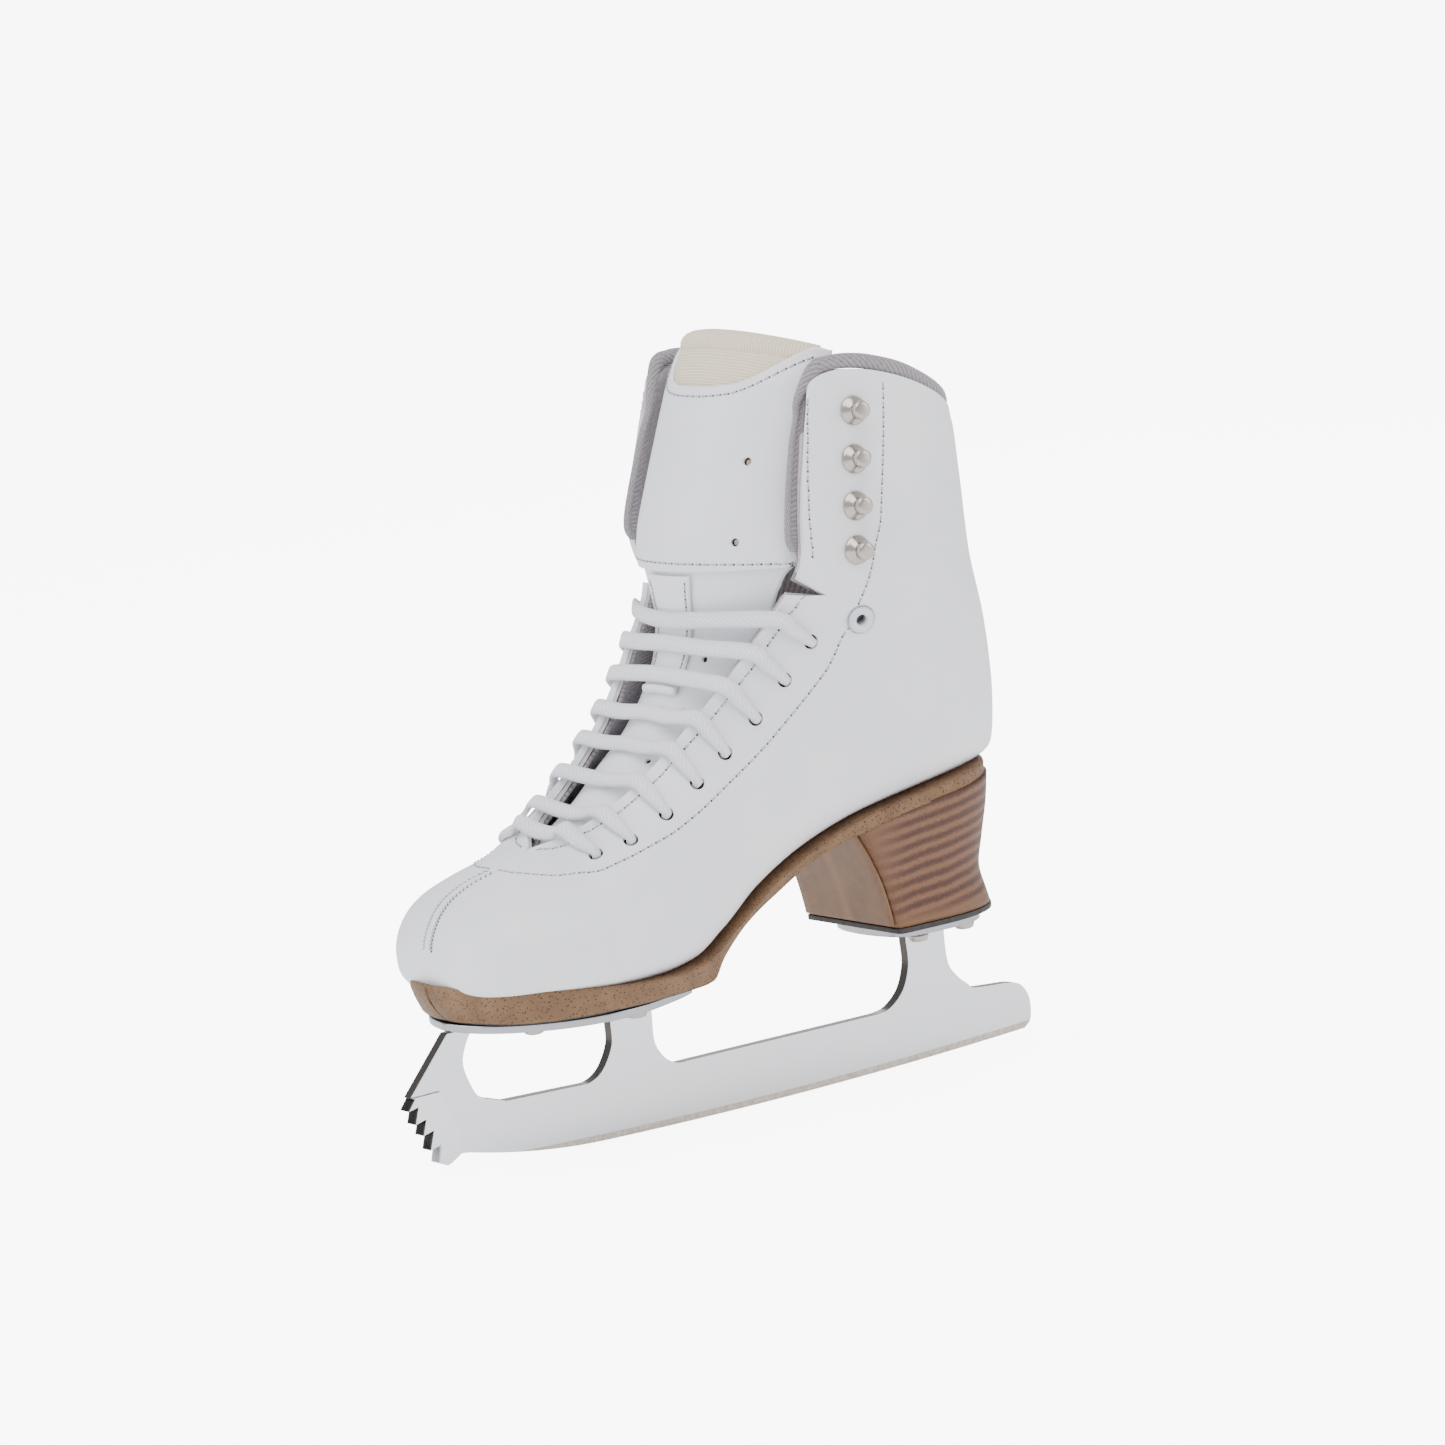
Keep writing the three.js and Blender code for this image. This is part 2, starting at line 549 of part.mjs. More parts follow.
// The cream roll over the top of the tongue, above the scooped leather.
const rollRadius = (backDepth + tongueLiningThickness) / 2;
const rollLine = acrossStops.map((s) => tongue(foamTop + 0.08, s * 0.95, rollRadius)
  .add(V(0, 0, rollRadius * 0.75)));
add("tongue_roll", cordSolid(rollLine.map((p) => ({ p, a: rollRadius * 0.72, b: rollRadius })), V(0, 0, 1), 8), "creamCloth");

// The strap down the middle of the lower tongue.
const keeperDepth = -gap - keeperThickness;
const keeperColumns = [-0.25, 0, 0.25];
add("lace_keeper", tongueSheet(6, foldRow - 0.15, keeperDepth, -gap, { columns: keeperColumns }), "whiteLeather");

// -------------------------------------------------------------- boot: the lace
// One flat lace. It comes out of the first hole on the left, crosses as a
// straight bar, goes in, runs up behind the facing and crosses back, to the top.
const bunched = { a: 1.45, b: 1.3 };         // inside a hole
const leg = { a: 0.75, b: 1.9 };             // behind the facing
const bar = { a: laceWidth / 2, b: laceThickness / 2 };
const behind = cavityDepth + 1.7;
const onLeft = (p, side) => V(side * p.x, p.y, p.z);

// The row of the tongue that faces a point.
function rowFacing(p) {
  const along = (v) => V(0, -shinNormal(v).z, shinNormal(v).y);
  const away = (v) => Math.abs(shinPoint(v).sub(p).dot(along(v)));
  return range(1, foldRow, 360).reduce((best, v) => (away(v) < away(best) ? v : best), 1);
}

// Up the facing, at a lace hole.
const uphill = (u) => leather(u + 0.2, 0).sub(leather(u - 0.2, 0)).normalize();

function barPlaces({ u, distance }) {
  const hole = placeOn(u, distance);
  const edge = placeOn(u, 0.6);
  const v = rowFacing(V(0, edge.point.y, edge.point.z));
  const overThroat = u < laceRows[1].u;        // the first bar also crosses the throat's corner
  const over = v > 5.4 ? gap + keeperThickness : (overThroat ? 2.4 : 0);
  const middle = tongue(v, 0, -over - gap - laceThickness).setX(0);
  const rim = edge.point.clone().addScaledVector(edge.normal, overThroat ? 4 : 2.7);
  const across = V(0, -shinNormal(v).z, shinNormal(v).y);
  const inner = rim.clone().lerp(middle, 0.5);
  inner.add(middle.clone().sub(V(0, rim.y, rim.z)).multiplyScalar(0.25));
  const lying = hole.point.clone().lerp(edge.point, 0.35).addScaledVector(hole.normal, 2);
  const half = [
    { p: hole.point.clone().addScaledVector(hole.normal, 1.2), ...bunched, side: uphill(u) },
    { p: lying, a: 2.9, b: bar.b, side: uphill(u) },
    { p: rim, ...bar, side: uphill(u).lerp(across, 0.3) },
    { p: inner, ...bar, side: across },
  ];
  const other = half.map((q) => ({ ...q, p: onLeft(q.p, -1), side: onLeft(q.side, -1) })).reverse();
  return [...half, { p: middle, ...bar, side: across }, ...other];
}

// A point of the lace behind the facing, on the left (1) or on the right (-1).
function behindAt({ u, distance }, side, further = 0, section = leg) {
  const place = placeOn(u, distance + further);
  const p = place.point.clone().addScaledVector(place.normal, -behind);
  return { p: onLeft(p, side), ...section, side: onLeft(place.normal, side) };
}

const through = ({ u, distance }, side) => [0.75, 0.2].map((f) => {
  const hole = placeOn(u, distance);
  const p = hole.point.clone().addScaledVector(hole.normal, -behind * f);
  return { p: onLeft(p, side), ...bunched, side: onLeft(uphill(u), side) };
});
const between = (a, b, f) => ({ u: lerp(a.u, b.u, f), distance: lerp(a.distance, b.distance, f) });

const bottomRow = laceRows[0];
const topRow = laceRows[laceRows.length - 1];
const lacePlaces = [13.5, 9.5, 5.5].map((further) => behindAt(bottomRow, 1, further));
laceRows.forEach((row, i) => {
  const side = i % 2 === 0 ? 1 : -1;
  lacePlaces.push(behindAt(row, side, 0, bunched), ...through(row, side));
  lacePlaces.push(...(side === 1 ? barPlaces(row) : barPlaces(row).reverse()));
  lacePlaces.push(...through(row, -side).reverse(), behindAt(row, -side, 0, bunched));
  if (i < laceRows.length - 1) {
    lacePlaces.push(...[0.3, 0.7].map((f) => behindAt(between(row, laceRows[i + 1], f), -side)));
  }
});
const topSide = laceRows.length % 2 === 0 ? 1 : -1;
lacePlaces.push(...[5.5, 9.5, 13.5].map((further) => behindAt(topRow, topSide, further)));
add("lace", cordSolid(lacePlaces, V(1, 0, 0), 6), "whiteLace");

// The hard tips of the lace, inside the boot.
const tipPlaces = [14.3, 17.5, 20.5, 23.5];
const tip = (row, side) => cordSolid(tipPlaces.map((further) => behindAt(row, side, further)), V(0, 0, 1), 6);
add("lace_tip_1", tip(bottomRow, 1), "whiteEnamel");
add("lace_tip_2", tip(topRow, topSide), "whiteEnamel");

// --------------------------------------------------- boot: under the foot
// The whole boot as one closed body, at some depth under its leather.
function bootBody(depthAt) {
  const loops = ringStops.map((u) => {
    const half = columnStops.map((t) => layer(u, t, depthAt(u, t), 0));
    return [...half, ...half.map((p) => V(-p.x, p.y, p.z)).reverse()];
  });
  return loft(loops, { turned: columnStops.length });
}
const outside = bootBody(always(-gap));
const cavity = bootBody((u, t) => cavityDepth + ankleBulge(u, t));

// A board lying along the bottom of the cavity, trimmed to its walls.
function underfoot(uFrom, uTo, depthLow, depthHigh, width) {
  const stops = ringStops.filter((u) => u >= uFrom && u <= uTo);
  const line = (depth) => stops.map((u) => layer(u, 1, depth, 0)).map((p) => new THREE.Vector2(p.y, p.z));
  return plateFromOutline([...line(depthLow), ...line(depthHigh).reverse()], width).intersect(cavity);
}
const boardTop = cavityDepth + insoleThickness;
const footbedLow = boardTop + gap;
const shank = underfoot(9, 14, cavityDepth, cavityDepth + shankThickness, shankWidth);
const shankRoom = underfoot(9, 15, cavityDepth - 1, cavityDepth + shankThickness + gap, shankWidth + 2 * gap);
add("shank", shank, "steel");
add("insole_board", underfoot(2, 15, cavityDepth - 1, boardTop, 3 * bootHalfWidth).subtract(shankRoom), "board");
add("footbed", underfoot(2, 15, footbedLow, footbedLow + footbedThickness, 3 * bootHalfWidth), "creamCloth");

// Outsole stations along the boot: half width, height of its upper edge, height
// of its underside.
const soleStations = [
  [-109, 6, 15.5, 12], [-106, 15, 14.8, 6.5], [-102, 23, 13.6, 2.8], [-97, 29.5, 12.4, 0.8],
  [-90, 35.5, 11, 0], [-80, 40, 9.8, 0], [-68, 42.3, 8.6, 0], [-55, 42.3, 7.4, 0],
  [-42, 40.5, 6.8, 0], [-30, 37.5, 7.6, 0], [-24, 36, 9.2, 0.6], [-18, 34, 12, 6.5],
  [-6, 31.5, 19.3, 15.5], [8, 30, 27.5, 22.8], [25, 29, 34.8, 30.5], [45, 29, 41, 36.3],
  [65, 29.5, 44.6, 40.5], [80, 28.5, 46.9, 42], [90, 25.5, 48, 43.2], [98, 20, 48.6, 44.2],
  [103.5, 12, 49.2, 44.8], [107.3, 3, 49.4, 45.3],
];

function soleBlank({ wider = 0, lower = 0, higher = 0, longer = 0 } = {}) {
  const last = soleStations.length - 1;
  return loft(soleStations.map(([y, a, top, bottom], i) => {
    const under = Math.max(a - 2.5, 0.4 * a);
    const back = (i === last ? longer : 0) + y;
    const corner = (x, z) => V(x * stretchX, back * stretchY, z * stretchZ);
    const half = [corner(under + wider, bottom - lower), corner(a + wider, top + higher)];
    return [...half.map((p) => V(-p.x, p.y, p.z)).reverse(), ...half];
  }));
}

const upright = (x, y, z) => ({ point: V(x * stretchX, y * stretchY, z), normal: V(0, 0, 1) });
const rod = (radius, from, to, place, sides = 8) => turned([[0, from], [radius, from], [radius, to], [0, to]], place, 0, sides);
const solePlaces = [[30, -52], [-30, -52], [20, -84], [-20, -84]];
const heelPlaces = [[17, 67.5], [-17, 67.5], [14.5, 88], [-14.5, 88]];
const soleScrewReach = 2.6;
const heelScrewReach = 11;
const screwRooms = (places, reach) => places
  .map(([x, y]) => rod(screwShankRadius + gap, -plateThickness - 5, reach + gap, upright(x, y, 0)))
  .reduce((all, one) => all.add(one));

const biggest = (body) => body.decompose().reduce((best, one) => (one.volume() > best.volume() ? one : best));
add("outsole", biggest(soleBlank().subtract(outside).subtract(screwRooms(solePlaces, soleScrewReach))), "soleLeather");

// ------------------------------------------------------------ boot: the heel
// Levels of the heel: height, half width, its breast and its back.
const heelLevels = [
  [liftThickness + gap, 26.5, 54, 103.4], [6, 26, 53.3, 102.4], [14.5, 25.5, 51.4, 100.4],
  [25, 26.8, 47.6, 102.6], [37, 28.8, 41.5, 105.2], [50, 30, 36, 106.8],
];

function heelLoop([z, a, breast, back], grown = 0, height = z * stretchZ) {
  const mid = 70;
  const half = [[0.97 * a, breast], [a, breast + 8], ...range(0, 90, 5).map((degrees) => {
    const angle = THREE.MathUtils.degToRad(degrees);
    return [a * Math.cos(angle) ** 0.87, mid + (back - mid) * Math.sin(angle) ** 0.87];
  })].map(([x, y]) => V(x * stretchX + (x > 0.5 ? grown : 0), y * stretchY + (y > mid + 5 ? grown : 0), height));
  return [...half.slice(0, -1), ...half.map((p) => V(-p.x, p.y, p.z)).reverse()];
}
const heelScrewRoom = screwRooms(heelPlaces, heelScrewReach);
const heelLoops = heelLevels.map((level, i) => heelLoop(level, 0, i === 0 ? level[0] : level[0] * stretchZ));
const heel = loft(heelLoops).subtract(soleBlank({ wider: 8, lower: gap, higher: 30, longer: 12 }));
add("heel_block", biggest(heel.subtract(heelScrewRoom)), "heelStack");

const lift = loft([heelLoop(heelLevels[0], 0.4, 0), heelLoop(heelLevels[0], 0.4, liftThickness)]);
add("heel_lift", lift.subtract(heelScrewRoom), "blackRubber");

const breastRows = [[2.6, 54], [6, 53.3], [14.5, 51.4], [25, 47.6], [32.5, 43.8]];
const breastLine = (offset) => breastRows.map(([z, y]) => new THREE.Vector2(y * stretchY - offset, z * stretchZ));
const breastCover = plateFromOutline(
  [...breastLine(gap), ...breastLine(gap + breastCoverThickness).reverse()], 2 * 24 * stretchX);
add("heel_breast_cover", breastCover, "soleLeather");

// ------------------------------------------------------- the blade and plates
function plate(halfOutline, rooms) {
  const right = halfOutline.map(([x, y]) => new THREE.Vector2(x * stretchX, y * stretchY));
  const left = right.slice(1, -1).reverse().map((p) => new THREE.Vector2(-p.x, p.y));
  const g = new THREE.ExtrudeGeometry(new THREE.Shape([...right, ...left]), { depth: plateThickness, bevelEnabled: false });
  g.translate(0, 0, bladeHeight);
  return solid(g).subtract(rooms.translate([0, 0, soleZ]));
}
const solePlateHalf = [[0, -104.5], [14, -101], [26, -93], [35, -81], [39, -68], [38.5, -55],
  [34, -42], [28.5, -31], [23, -27], [0, -25.5]];
const heelPlateHalf = [[0, 56], [10, 57], [18, 60], [21, 66], [21.5, 80], [19, 90], [12, 96], [0, 98]];
add("sole_plate", plate(solePlateHalf, screwRooms(solePlaces, 0)), "chrome", skate);
add("heel_plate", plate(heelPlateHalf, screwRooms(heelPlaces, 0)), "chrome", skate);

// The blade's side outline: the teeth of the pick, the rockered edge, the tail,
// and the two stanchions that rise to the plates.
const bladeTop = bladeHeight - gap;
const at = ([y, z]) => new THREE.Vector2(y * bladeY, Math.min(z * bladeZ, bladeTop));
const top = 2 * bladeHeight;
const teeth = [[-120.7, 28.8], [-119.4, 28.4], [-122.2, 24.8], [-118.5, 25.6], [-120.2, 20.2],
  [-116.2, 21.2], [-117.8, 16.2], [-113.9, 17.2], [-115.8, 11.1], [-111.6, 12.3],
  [-113.1, 6.5], [-110, 5.1], [-108.4, 5.7], [-104.8, 7.8]];
const rockerRadius = 2134;
const rocker = range(-101.4, 117.5, 14)
  .map((y) => [y, (y * y) / (2 * rockerRadius) + 0.0019 * Math.max(0, -50 - y) ** 2]);
const heelStanchion = [[120, 5.4], [120.8, 9], [120.4, 13.9], [117.6, 18], [115.2, 19.2], [98, 21],
  [96.1, 22.6], [93.1, 25.1], [89.5, 29.8], [88.6, 35.5], [88.6, top], [72.8, top], [72.8, 33.5],
  [69.7, 25.7], [63.8, 20.8], [58, 19.7]];
const soleStanchion = [[-16, 19.7], [-21, 19.9], [-25.3, 22.6], [-28.4, 28.2], [-28.4, top],
  [-44.5, top], [-44.5, 37], [-44.9, 30.5], [-49, 23.5], [-54.1, 20.4], [-59.4, 20.2], [-86, 21],
  [-90.1, 22.3], [-95, 24], [-97.5, 27], [-100.1, 35.1], [-98.6, 41], [-95.3, top], [-104.9, top]];
const runner = plateFromOutline([...teeth, ...rocker, ...heelStanchion, ...soleStanchion].map(at), bladeThickness);
const pick = plateFromOutline([...teeth, [-104, 14], [-110, 29]].map(at), pickThickness);
add("blade", runner.add(pick), "chrome", skate);

// Pan-headed screws up through the plates. The heads hang under the plates.
function screw([x, y], reach) {
  const h = screwHeadRadius;
  const under = bladeTop;
  const tipZ = soleZ + reach;
  return turned([[0, under - 2.3], [h * 0.62, under - 2.3], [h * 0.93, under - 1.5], [h, under - 0.5], [h, under],
    [screwShankRadius, under], [screwShankRadius, tipZ], [0, tipZ]], upright(x, y, 0), 0, 8);
}
solePlaces.forEach((place, i) => add(`sole_screw_${i + 1}`, screw(place, soleScrewReach), "nickel", skate));
heelPlaces.forEach((place, i) => add(`heel_screw_${i + 1}`, screw(place, heelScrewReach), "nickel", skate));

export default group;
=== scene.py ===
# %% [markdown]
# # A white figure skate
# The frame comes first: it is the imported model, in metres, toe towards -Y, the
# blade's edge on Z = 0. Every piece below is fitted to it. Numbers for shapes are
# written in millimetres, because that is how a bootmaker's last is measured, and
# one function turns them into Blender's metres.

# %% Load the frame
import functools
import math
import random

import bmesh
import bpy
from mathutils import Matrix, Vector, noise


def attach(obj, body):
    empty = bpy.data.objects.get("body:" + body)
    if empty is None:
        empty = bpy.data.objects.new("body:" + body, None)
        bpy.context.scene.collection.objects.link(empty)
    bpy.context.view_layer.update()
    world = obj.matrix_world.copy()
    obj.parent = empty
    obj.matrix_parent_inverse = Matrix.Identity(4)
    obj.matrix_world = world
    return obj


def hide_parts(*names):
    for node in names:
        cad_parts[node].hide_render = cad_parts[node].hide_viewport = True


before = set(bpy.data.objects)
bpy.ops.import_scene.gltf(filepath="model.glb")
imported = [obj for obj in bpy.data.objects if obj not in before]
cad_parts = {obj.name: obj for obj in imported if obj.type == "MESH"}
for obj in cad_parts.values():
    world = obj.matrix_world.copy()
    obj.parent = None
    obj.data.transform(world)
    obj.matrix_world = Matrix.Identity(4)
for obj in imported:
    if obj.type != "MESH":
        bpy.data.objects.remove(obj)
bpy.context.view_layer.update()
random.seed(12)

# %% [markdown]
# Two heights tie the boot to its blade: the plates lie on top of the blade, and
# the boot stands on the plates. The blade is centred along Y, which moves the
# boot's own zero a little.

# %% Units and the boot's own zero
GAP = 0.3
BLADE_HEIGHT = 46.7
PLATE = 2.7
SOLE_Z = BLADE_HEIGHT + PLATE + GAP
MIDDLE = 0.7


def at_boot(p):
    """A point of the boot, in millimetres over the plates, in metres in the frame."""
    return Vector((p[0], p[1] + MIDDLE, p[2] + SOLE_Z)) / 1000


def at_ice(p):
    """A point measured from the ice line, in millimetres, in metres in the frame."""
    return Vector((p[0], p[1] + MIDDLE, p[2])) / 1000


def mm(value):
    return value / 1000


# %% [markdown]
# ## Camera, light and floor
# A long lens from the front left and a little above keeps the boot's proportions.
# The studio is plain: one broad soft light over the toe, a weaker one at the
# heel side, one behind for the chrome to reflect, and a pale floor. The world
# lights the skate softly, and shows its white backdrop to the camera only.

# %% Camera
camera_data = bpy.data.cameras.new("camera")
camera_data.lens = 155.57
camera_data.sensor_width = 36
camera = bpy.data.objects.new("camera", camera_data)
bpy.context.scene.collection.objects.link(camera)
right = Vector((0.56226, 0.82041, -0.10386))
up = Vector((-0.06747, 0.17069, 0.98301))
back = Vector((0.82420, -0.54570, 0.15132))
camera.matrix_world = Matrix((
    (right.x, up.x, back.x, 1.65242),
    (right.y, up.y, back.y, -1.08190),
    (right.z, up.z, back.z, 0.42837),
    (0, 0, 0, 1)))
bpy.context.scene.camera = camera
print("camera", tuple(round(v, 3) for v in camera.matrix_world.translation))


# %% Lights
def area_light(name, place, aim, size, power, colour=(1, 1, 1)):
    data = bpy.data.lights.new(name, "AREA")
    data.shape = "RECTANGLE"
    data.size, data.size_y = size
    data.energy = power
    data.color = colour
    lamp = bpy.data.objects.new(name, data)
    bpy.context.scene.collection.objects.link(lamp)
    lamp.location = place
    lamp.rotation_euler = (Vector(aim) - Vector(place)).to_track_quat("-Z", "Y").to_euler()


BOOT_MIDDLE = (0, 0, 0.12)
area_light("overhead", (0.5, -0.5, 1.5), (0, 0, 0.1), (1.4, 1.4), 20)
area_light("toe_side", (-0.7, -1.5, 0.7), BOOT_MIDDLE, (0.9, 1.2), 9, (0.95, 0.97, 1))
area_light("heel_side", (1.2, 1.2, 0.7), BOOT_MIDDLE, (0.8, 1.2), 7)
area_light("rim", (-1.2, 1.0, 1.0), BOOT_MIDDLE, (0.8, 1.0), 8)

SKY_STRENGTH, BACKDROP_GLOW = 0.96, 9.0
world = bpy.data.worlds.new("studio")
bpy.context.scene.world = world
world.use_nodes = True
sky = world.node_tree.nodes["Background"]
sky.inputs["Color"].default_value = (0.93, 0.945, 0.97, 1)
sky.inputs["Strength"].default_value = SKY_STRENGTH
backdrop = world.node_tree.nodes.new("ShaderNodeBackground")
backdrop.inputs["Color"].default_value = (1, 1, 1, 1)
backdrop.inputs["Strength"].default_value = BACKDROP_GLOW
rays = world.node_tree.nodes.new("ShaderNodeLightPath")
seen = world.node_tree.nodes.new("ShaderNodeMixShader")
world.node_tree.links.new(rays.outputs["Is Camera Ray"], seen.inputs[0])
world.node_tree.links.new(sky.outputs[0], seen.inputs[1])
world.node_tree.links.new(backdrop.outputs[0], seen.inputs[2])
surface = world.node_tree.nodes["World Output"].inputs["Surface"]
world.node_tree.links.new(seen.outputs[0], surface)


# %% [markdown]
# ## Materials
# Each finish is a small node network. Patterns are worked out from a real size:
# a scale of 1 / size repeats a pattern once in that size, because the
# coordinates are metres.

# %% Helpers for node networks
def srgb(hex_code):
    """A hex colour as Blender's linear colour."""
    parts = [int(hex_code[i:i + 2], 16) / 255 for i in (1, 3, 5)]
    linear = [c / 12.92 if c <= 0.04045 else ((c + 0.055) / 1.055) ** 2.4 for c in parts]
    return (*linear, 1)


def add_node(tree, kind, links=(), out=None, stops=(), **settings):
    """Adds a node and gives back its output, the first live one unless out names it.
    Links are (socket or number, input); stops are a ramp's (place, hex colour)."""
    node = tree.nodes.new("ShaderNode" + kind)
    for name, value in settings.items():
        if name.replace("_", " ") in node.inputs:
            node.inputs[name.replace("_", " ")].default_value = value
        else:
            setattr(node, name, value)
    for source, target in links:
        if isinstance(source, bpy.types.NodeSocket):
            tree.links.new(source, node.inputs[target])
        else:
            node.inputs[target].default_value = source
    for _ in stops[2:]:
        node.color_ramp.elements.new(0.5)
    for k, (place, colour) in enumerate(stops):
        node.color_ramp.elements[k].position = place
        node.color_ramp.elements[k].color = srgb(colour)
    return node.outputs[out] if out else next(o for o in node.outputs if o.enabled)


def wire(shader, **sockets):
    """Links each socket to the shader's input of that name."""
    for name, socket in sockets.items():
        shader.id_data.links.new(socket, shader.inputs[name.replace("_", " ")])


def new_material(name, colour, roughness, **constants):
    """A material, its shader, and a function that adds nodes to its tree."""
    material = bpy.data.materials.new(name)
    material.use_nodes = True
    shader = material.node_tree.nodes["Principled BSDF"]
    shader.inputs["Base Color"].default_value = srgb(colour)
    shader.inputs["Roughness"].default_value = roughness
    for key, value in constants.items():
        shader.inputs[key.replace("_", " ")].default_value = value
    return material, shader, functools.partial(add_node, material.node_tree)


def mottled(name, colour, roughness, stops, size, relief=None, kind="TexNoise", **settings):
    """A finish with one pattern of a real size, which moves its colour and may
    stand out of it. Relief is (height in metres, strength)."""
    material, shader, node = new_material(name, colour, roughness)
    place = node("TexCoord", out="Object")
    spots = node(kind, [(place, "Vector")], Scale=1 / size, **settings)
    wire(shader, Base_Color=node("ValToRGB", [(spots, "Fac")], stops=stops))
    if relief:
        wire(shader, Normal=node("Bump", [(spots, "Height")], Distance=relief[0],
                                 Strength=relief[1]))
    return material


# %% [markdown]
# White boot leather is split hide with a pigmented finish, rolled smooth. It
# shows a fine pebble of pores under a millimetre, slow waves where it was pulled
# over the last, and a low sheen.

# %% Leather
def white_leather():
    material, shader, node = new_material("coated_white_leather", "#E4E5EB", 0.4)
    place = node("TexCoord", out="Object")
    tone = node("TexNoise", [(place, "Vector")], Scale=1 / 0.035, Detail=3)
    pores = node("TexVoronoi", [(place, "Vector")], Scale=1 / 0.0011, feature="SMOOTH_F1")
    waves = node("TexNoise", [(place, "Vector")], Scale=1 / 0.014, Detail=2)
    pebble = node("Bump", [(pores, "Height")], Distance=0.00005, Strength=0.35)
    wire(shader,
         Base_Color=node("ValToRGB", [(tone, "Fac")], stops=[(0.3, "#EAEBF0"), (0.7, "#F3F3F6")]),
         Normal=node("Bump", [(waves, "Height"), (pebble, "Normal")], Distance=0.0007,
                     Strength=0.35),
         Roughness=node("MapRange", [(tone, "Value")], To_Min=0.34, To_Max=0.46))
    return material


LEATHER = white_leather()


# %% [markdown]
# The lining is brushed twill, grey with a little lilac. Twill shows fine
# diagonal ribs, and brushing lifts a nap that blurs them.

# %% Cloths
def rib_cloth(name, dark, light, rib, degrees, nap):
    """Woven cloth, its ribs of a width in metres and at an angle to its UV map."""
    material, shader, node = new_material(name, light, 0.92, Sheen_Weight=0.25,
                                          Sheen_Roughness=0.5)
    uv = node("UVMap")
    turned = node("Mapping", [(uv, "Vector")], Rotation=(0, 0, math.radians(degrees)))
    ribs = node("TexWave", [(turned, "Vector")], out="Fac", Scale=2 * math.pi / rib / 20,
                Distortion=1.2, Detail=2, Detail_Scale=3)
    fuzz = node("TexNoise", [(uv, "Vector")], Scale=1 / 0.0009, Detail=4)
    mixed = node("Mix", [(ribs, 2), (fuzz, 3)], data_type="FLOAT", Factor=nap)
    wire(shader,
         Base_Color=node("ValToRGB", [(mixed, "Fac")], stops=[(0.25, dark), (0.75, light)]),
         Normal=node("Bump", [(mixed, "Height")], Distance=0.0004, Strength=0.7))
    return material


TWILL = rib_cloth("brushed_grey_twill", "#736D72", "#A69FA3", 0.0012, 35, 0.7)
CREAM = rib_cloth("cream_ribbed_jersey", "#DFCFB2", "#F5E9CF", 0.0010, 90, 0.25)
LACE = rib_cloth("woven_white_lace", "#E3E3EA", "#F4F4F8", 0.0007, 20, 0.3)
FOOTBED = rib_cloth("cream_footbed_cloth", "#B9AF9F", "#DCD4C4", 0.0018, 45, 0.5)
print("leather and cloths ready")


# %% [markdown]
# ## The last
# A boot is drawn round a last, the maker's form of the foot. Its surface is
# given by rings from the toe to the collar. Each ring starts at the edge of the
# lacing gap (half opening g, height zf), ends at the middle line of the sole or
# back (yb, zb), and is w wide. A smooth curve joins the rings.

# %% Rings of the last
RING_KEYS = ("g", "yf", "zf", "yb", "zb", "w", "m", "nf", "nb", "rise")
RINGS = [
    (0, -108, 18.5, -108, 18.5, 0, 0.5, 2, 2.2, 0),
    (0, -107, 25.5, -106.5, 11, 16, 0.58, 2.1, 2.6, 0),
    (0, -104, 32, -103.5, 8.5, 25.5, 0.6, 2.1, 3, 0),
    (0, -99, 37.3, -98, 6.8, 32.5, 0.6, 2.1, 3.2, 0),
    (0, -91, 41.3, -90, 5.8, 39, 0.6, 2.1, 3.3, 0),
    (0, -80, 44.3, -78, 4.8, 44, 0.6, 2.1, 3.3, 0),
    (0, -68, 47.8, -65, 4.2, 46.5, 0.6, 2, 3.3, 0),
    (10, -60, 51.8, -54, 3.8, 46.5, 0.6, 2, 3.2, 0),
    (16, -52, 56.3, -42, 3.8, 45.5, 0.6, 2, 3, 0),
    (20, -41, 62.8, -29, 4.8, 43.5, 0.58, 2, 2.8, 0),
    (22.5, -31, 70.3, -15, 11.2, 41, 0.56, 2, 2.7, 0),
    (25, -20.5, 79.3, 2, 22.3, 38.5, 0.54, 2, 2.7, 0),
    (29, -10.5, 89.3, 22, 31.8, 38, 0.52, 2, 2.7, 0),
    (33.5, -1.5, 99.3, 48, 39.8, 40, 0.5, 2, 2.7, 0),
    (37, 7, 109.3, 78, 44.4, 43, 0.46, 2, 2.5, 0),
    (39.8, 11.8, 115.5, 98, 46.8, 45, 0.42, 2.1, 2.1, 0),
    (42.5, 14.3, 120, 107.2, 50.6, 46.5, 0.4, 2.2, 2, 0),
    (45.5, 15.3, 124, 109.5, 70, 48.5, 0.38, 2.2, 2, 0),
    (48.5, 15.5, 128.5, 108, 92, 50.5, 0.38, 2.2, 2, 0),
    (50.3, 15.7, 134.5, 104.5, 112, 51.5, 0.38, 2.2, 2, 1),
    (50, 16.3, 142, 101.8, 129, 51.5, 0.4, 2.2, 2.1, 2),
    (48.8, 18.3, 153, 100.4, 143, 51, 0.4, 2.2, 2.2, 4),
    (47.2, 22, 168.5, 99.9, 155.5, 50, 0.4, 2.2, 2.2, 7),
    (46, 25.3, 186, 98.5, 166.5, 49.5, 0.4, 2.2, 2.2, 11),
]
COLLAR = len(RINGS) - 1
WIDEST = 0.45
RIM_DIP, DIP_FROM, DIP_OVER = 5.5, 21.9, 1.1
SWAY = 2.6


# %% Smooth curves through the rings
def lerp(a, b, f):
    return a + (b - a) * f


def smooth(f):
    f = min(1, max(0, f))
    return f * f * (3 - 2 * f)


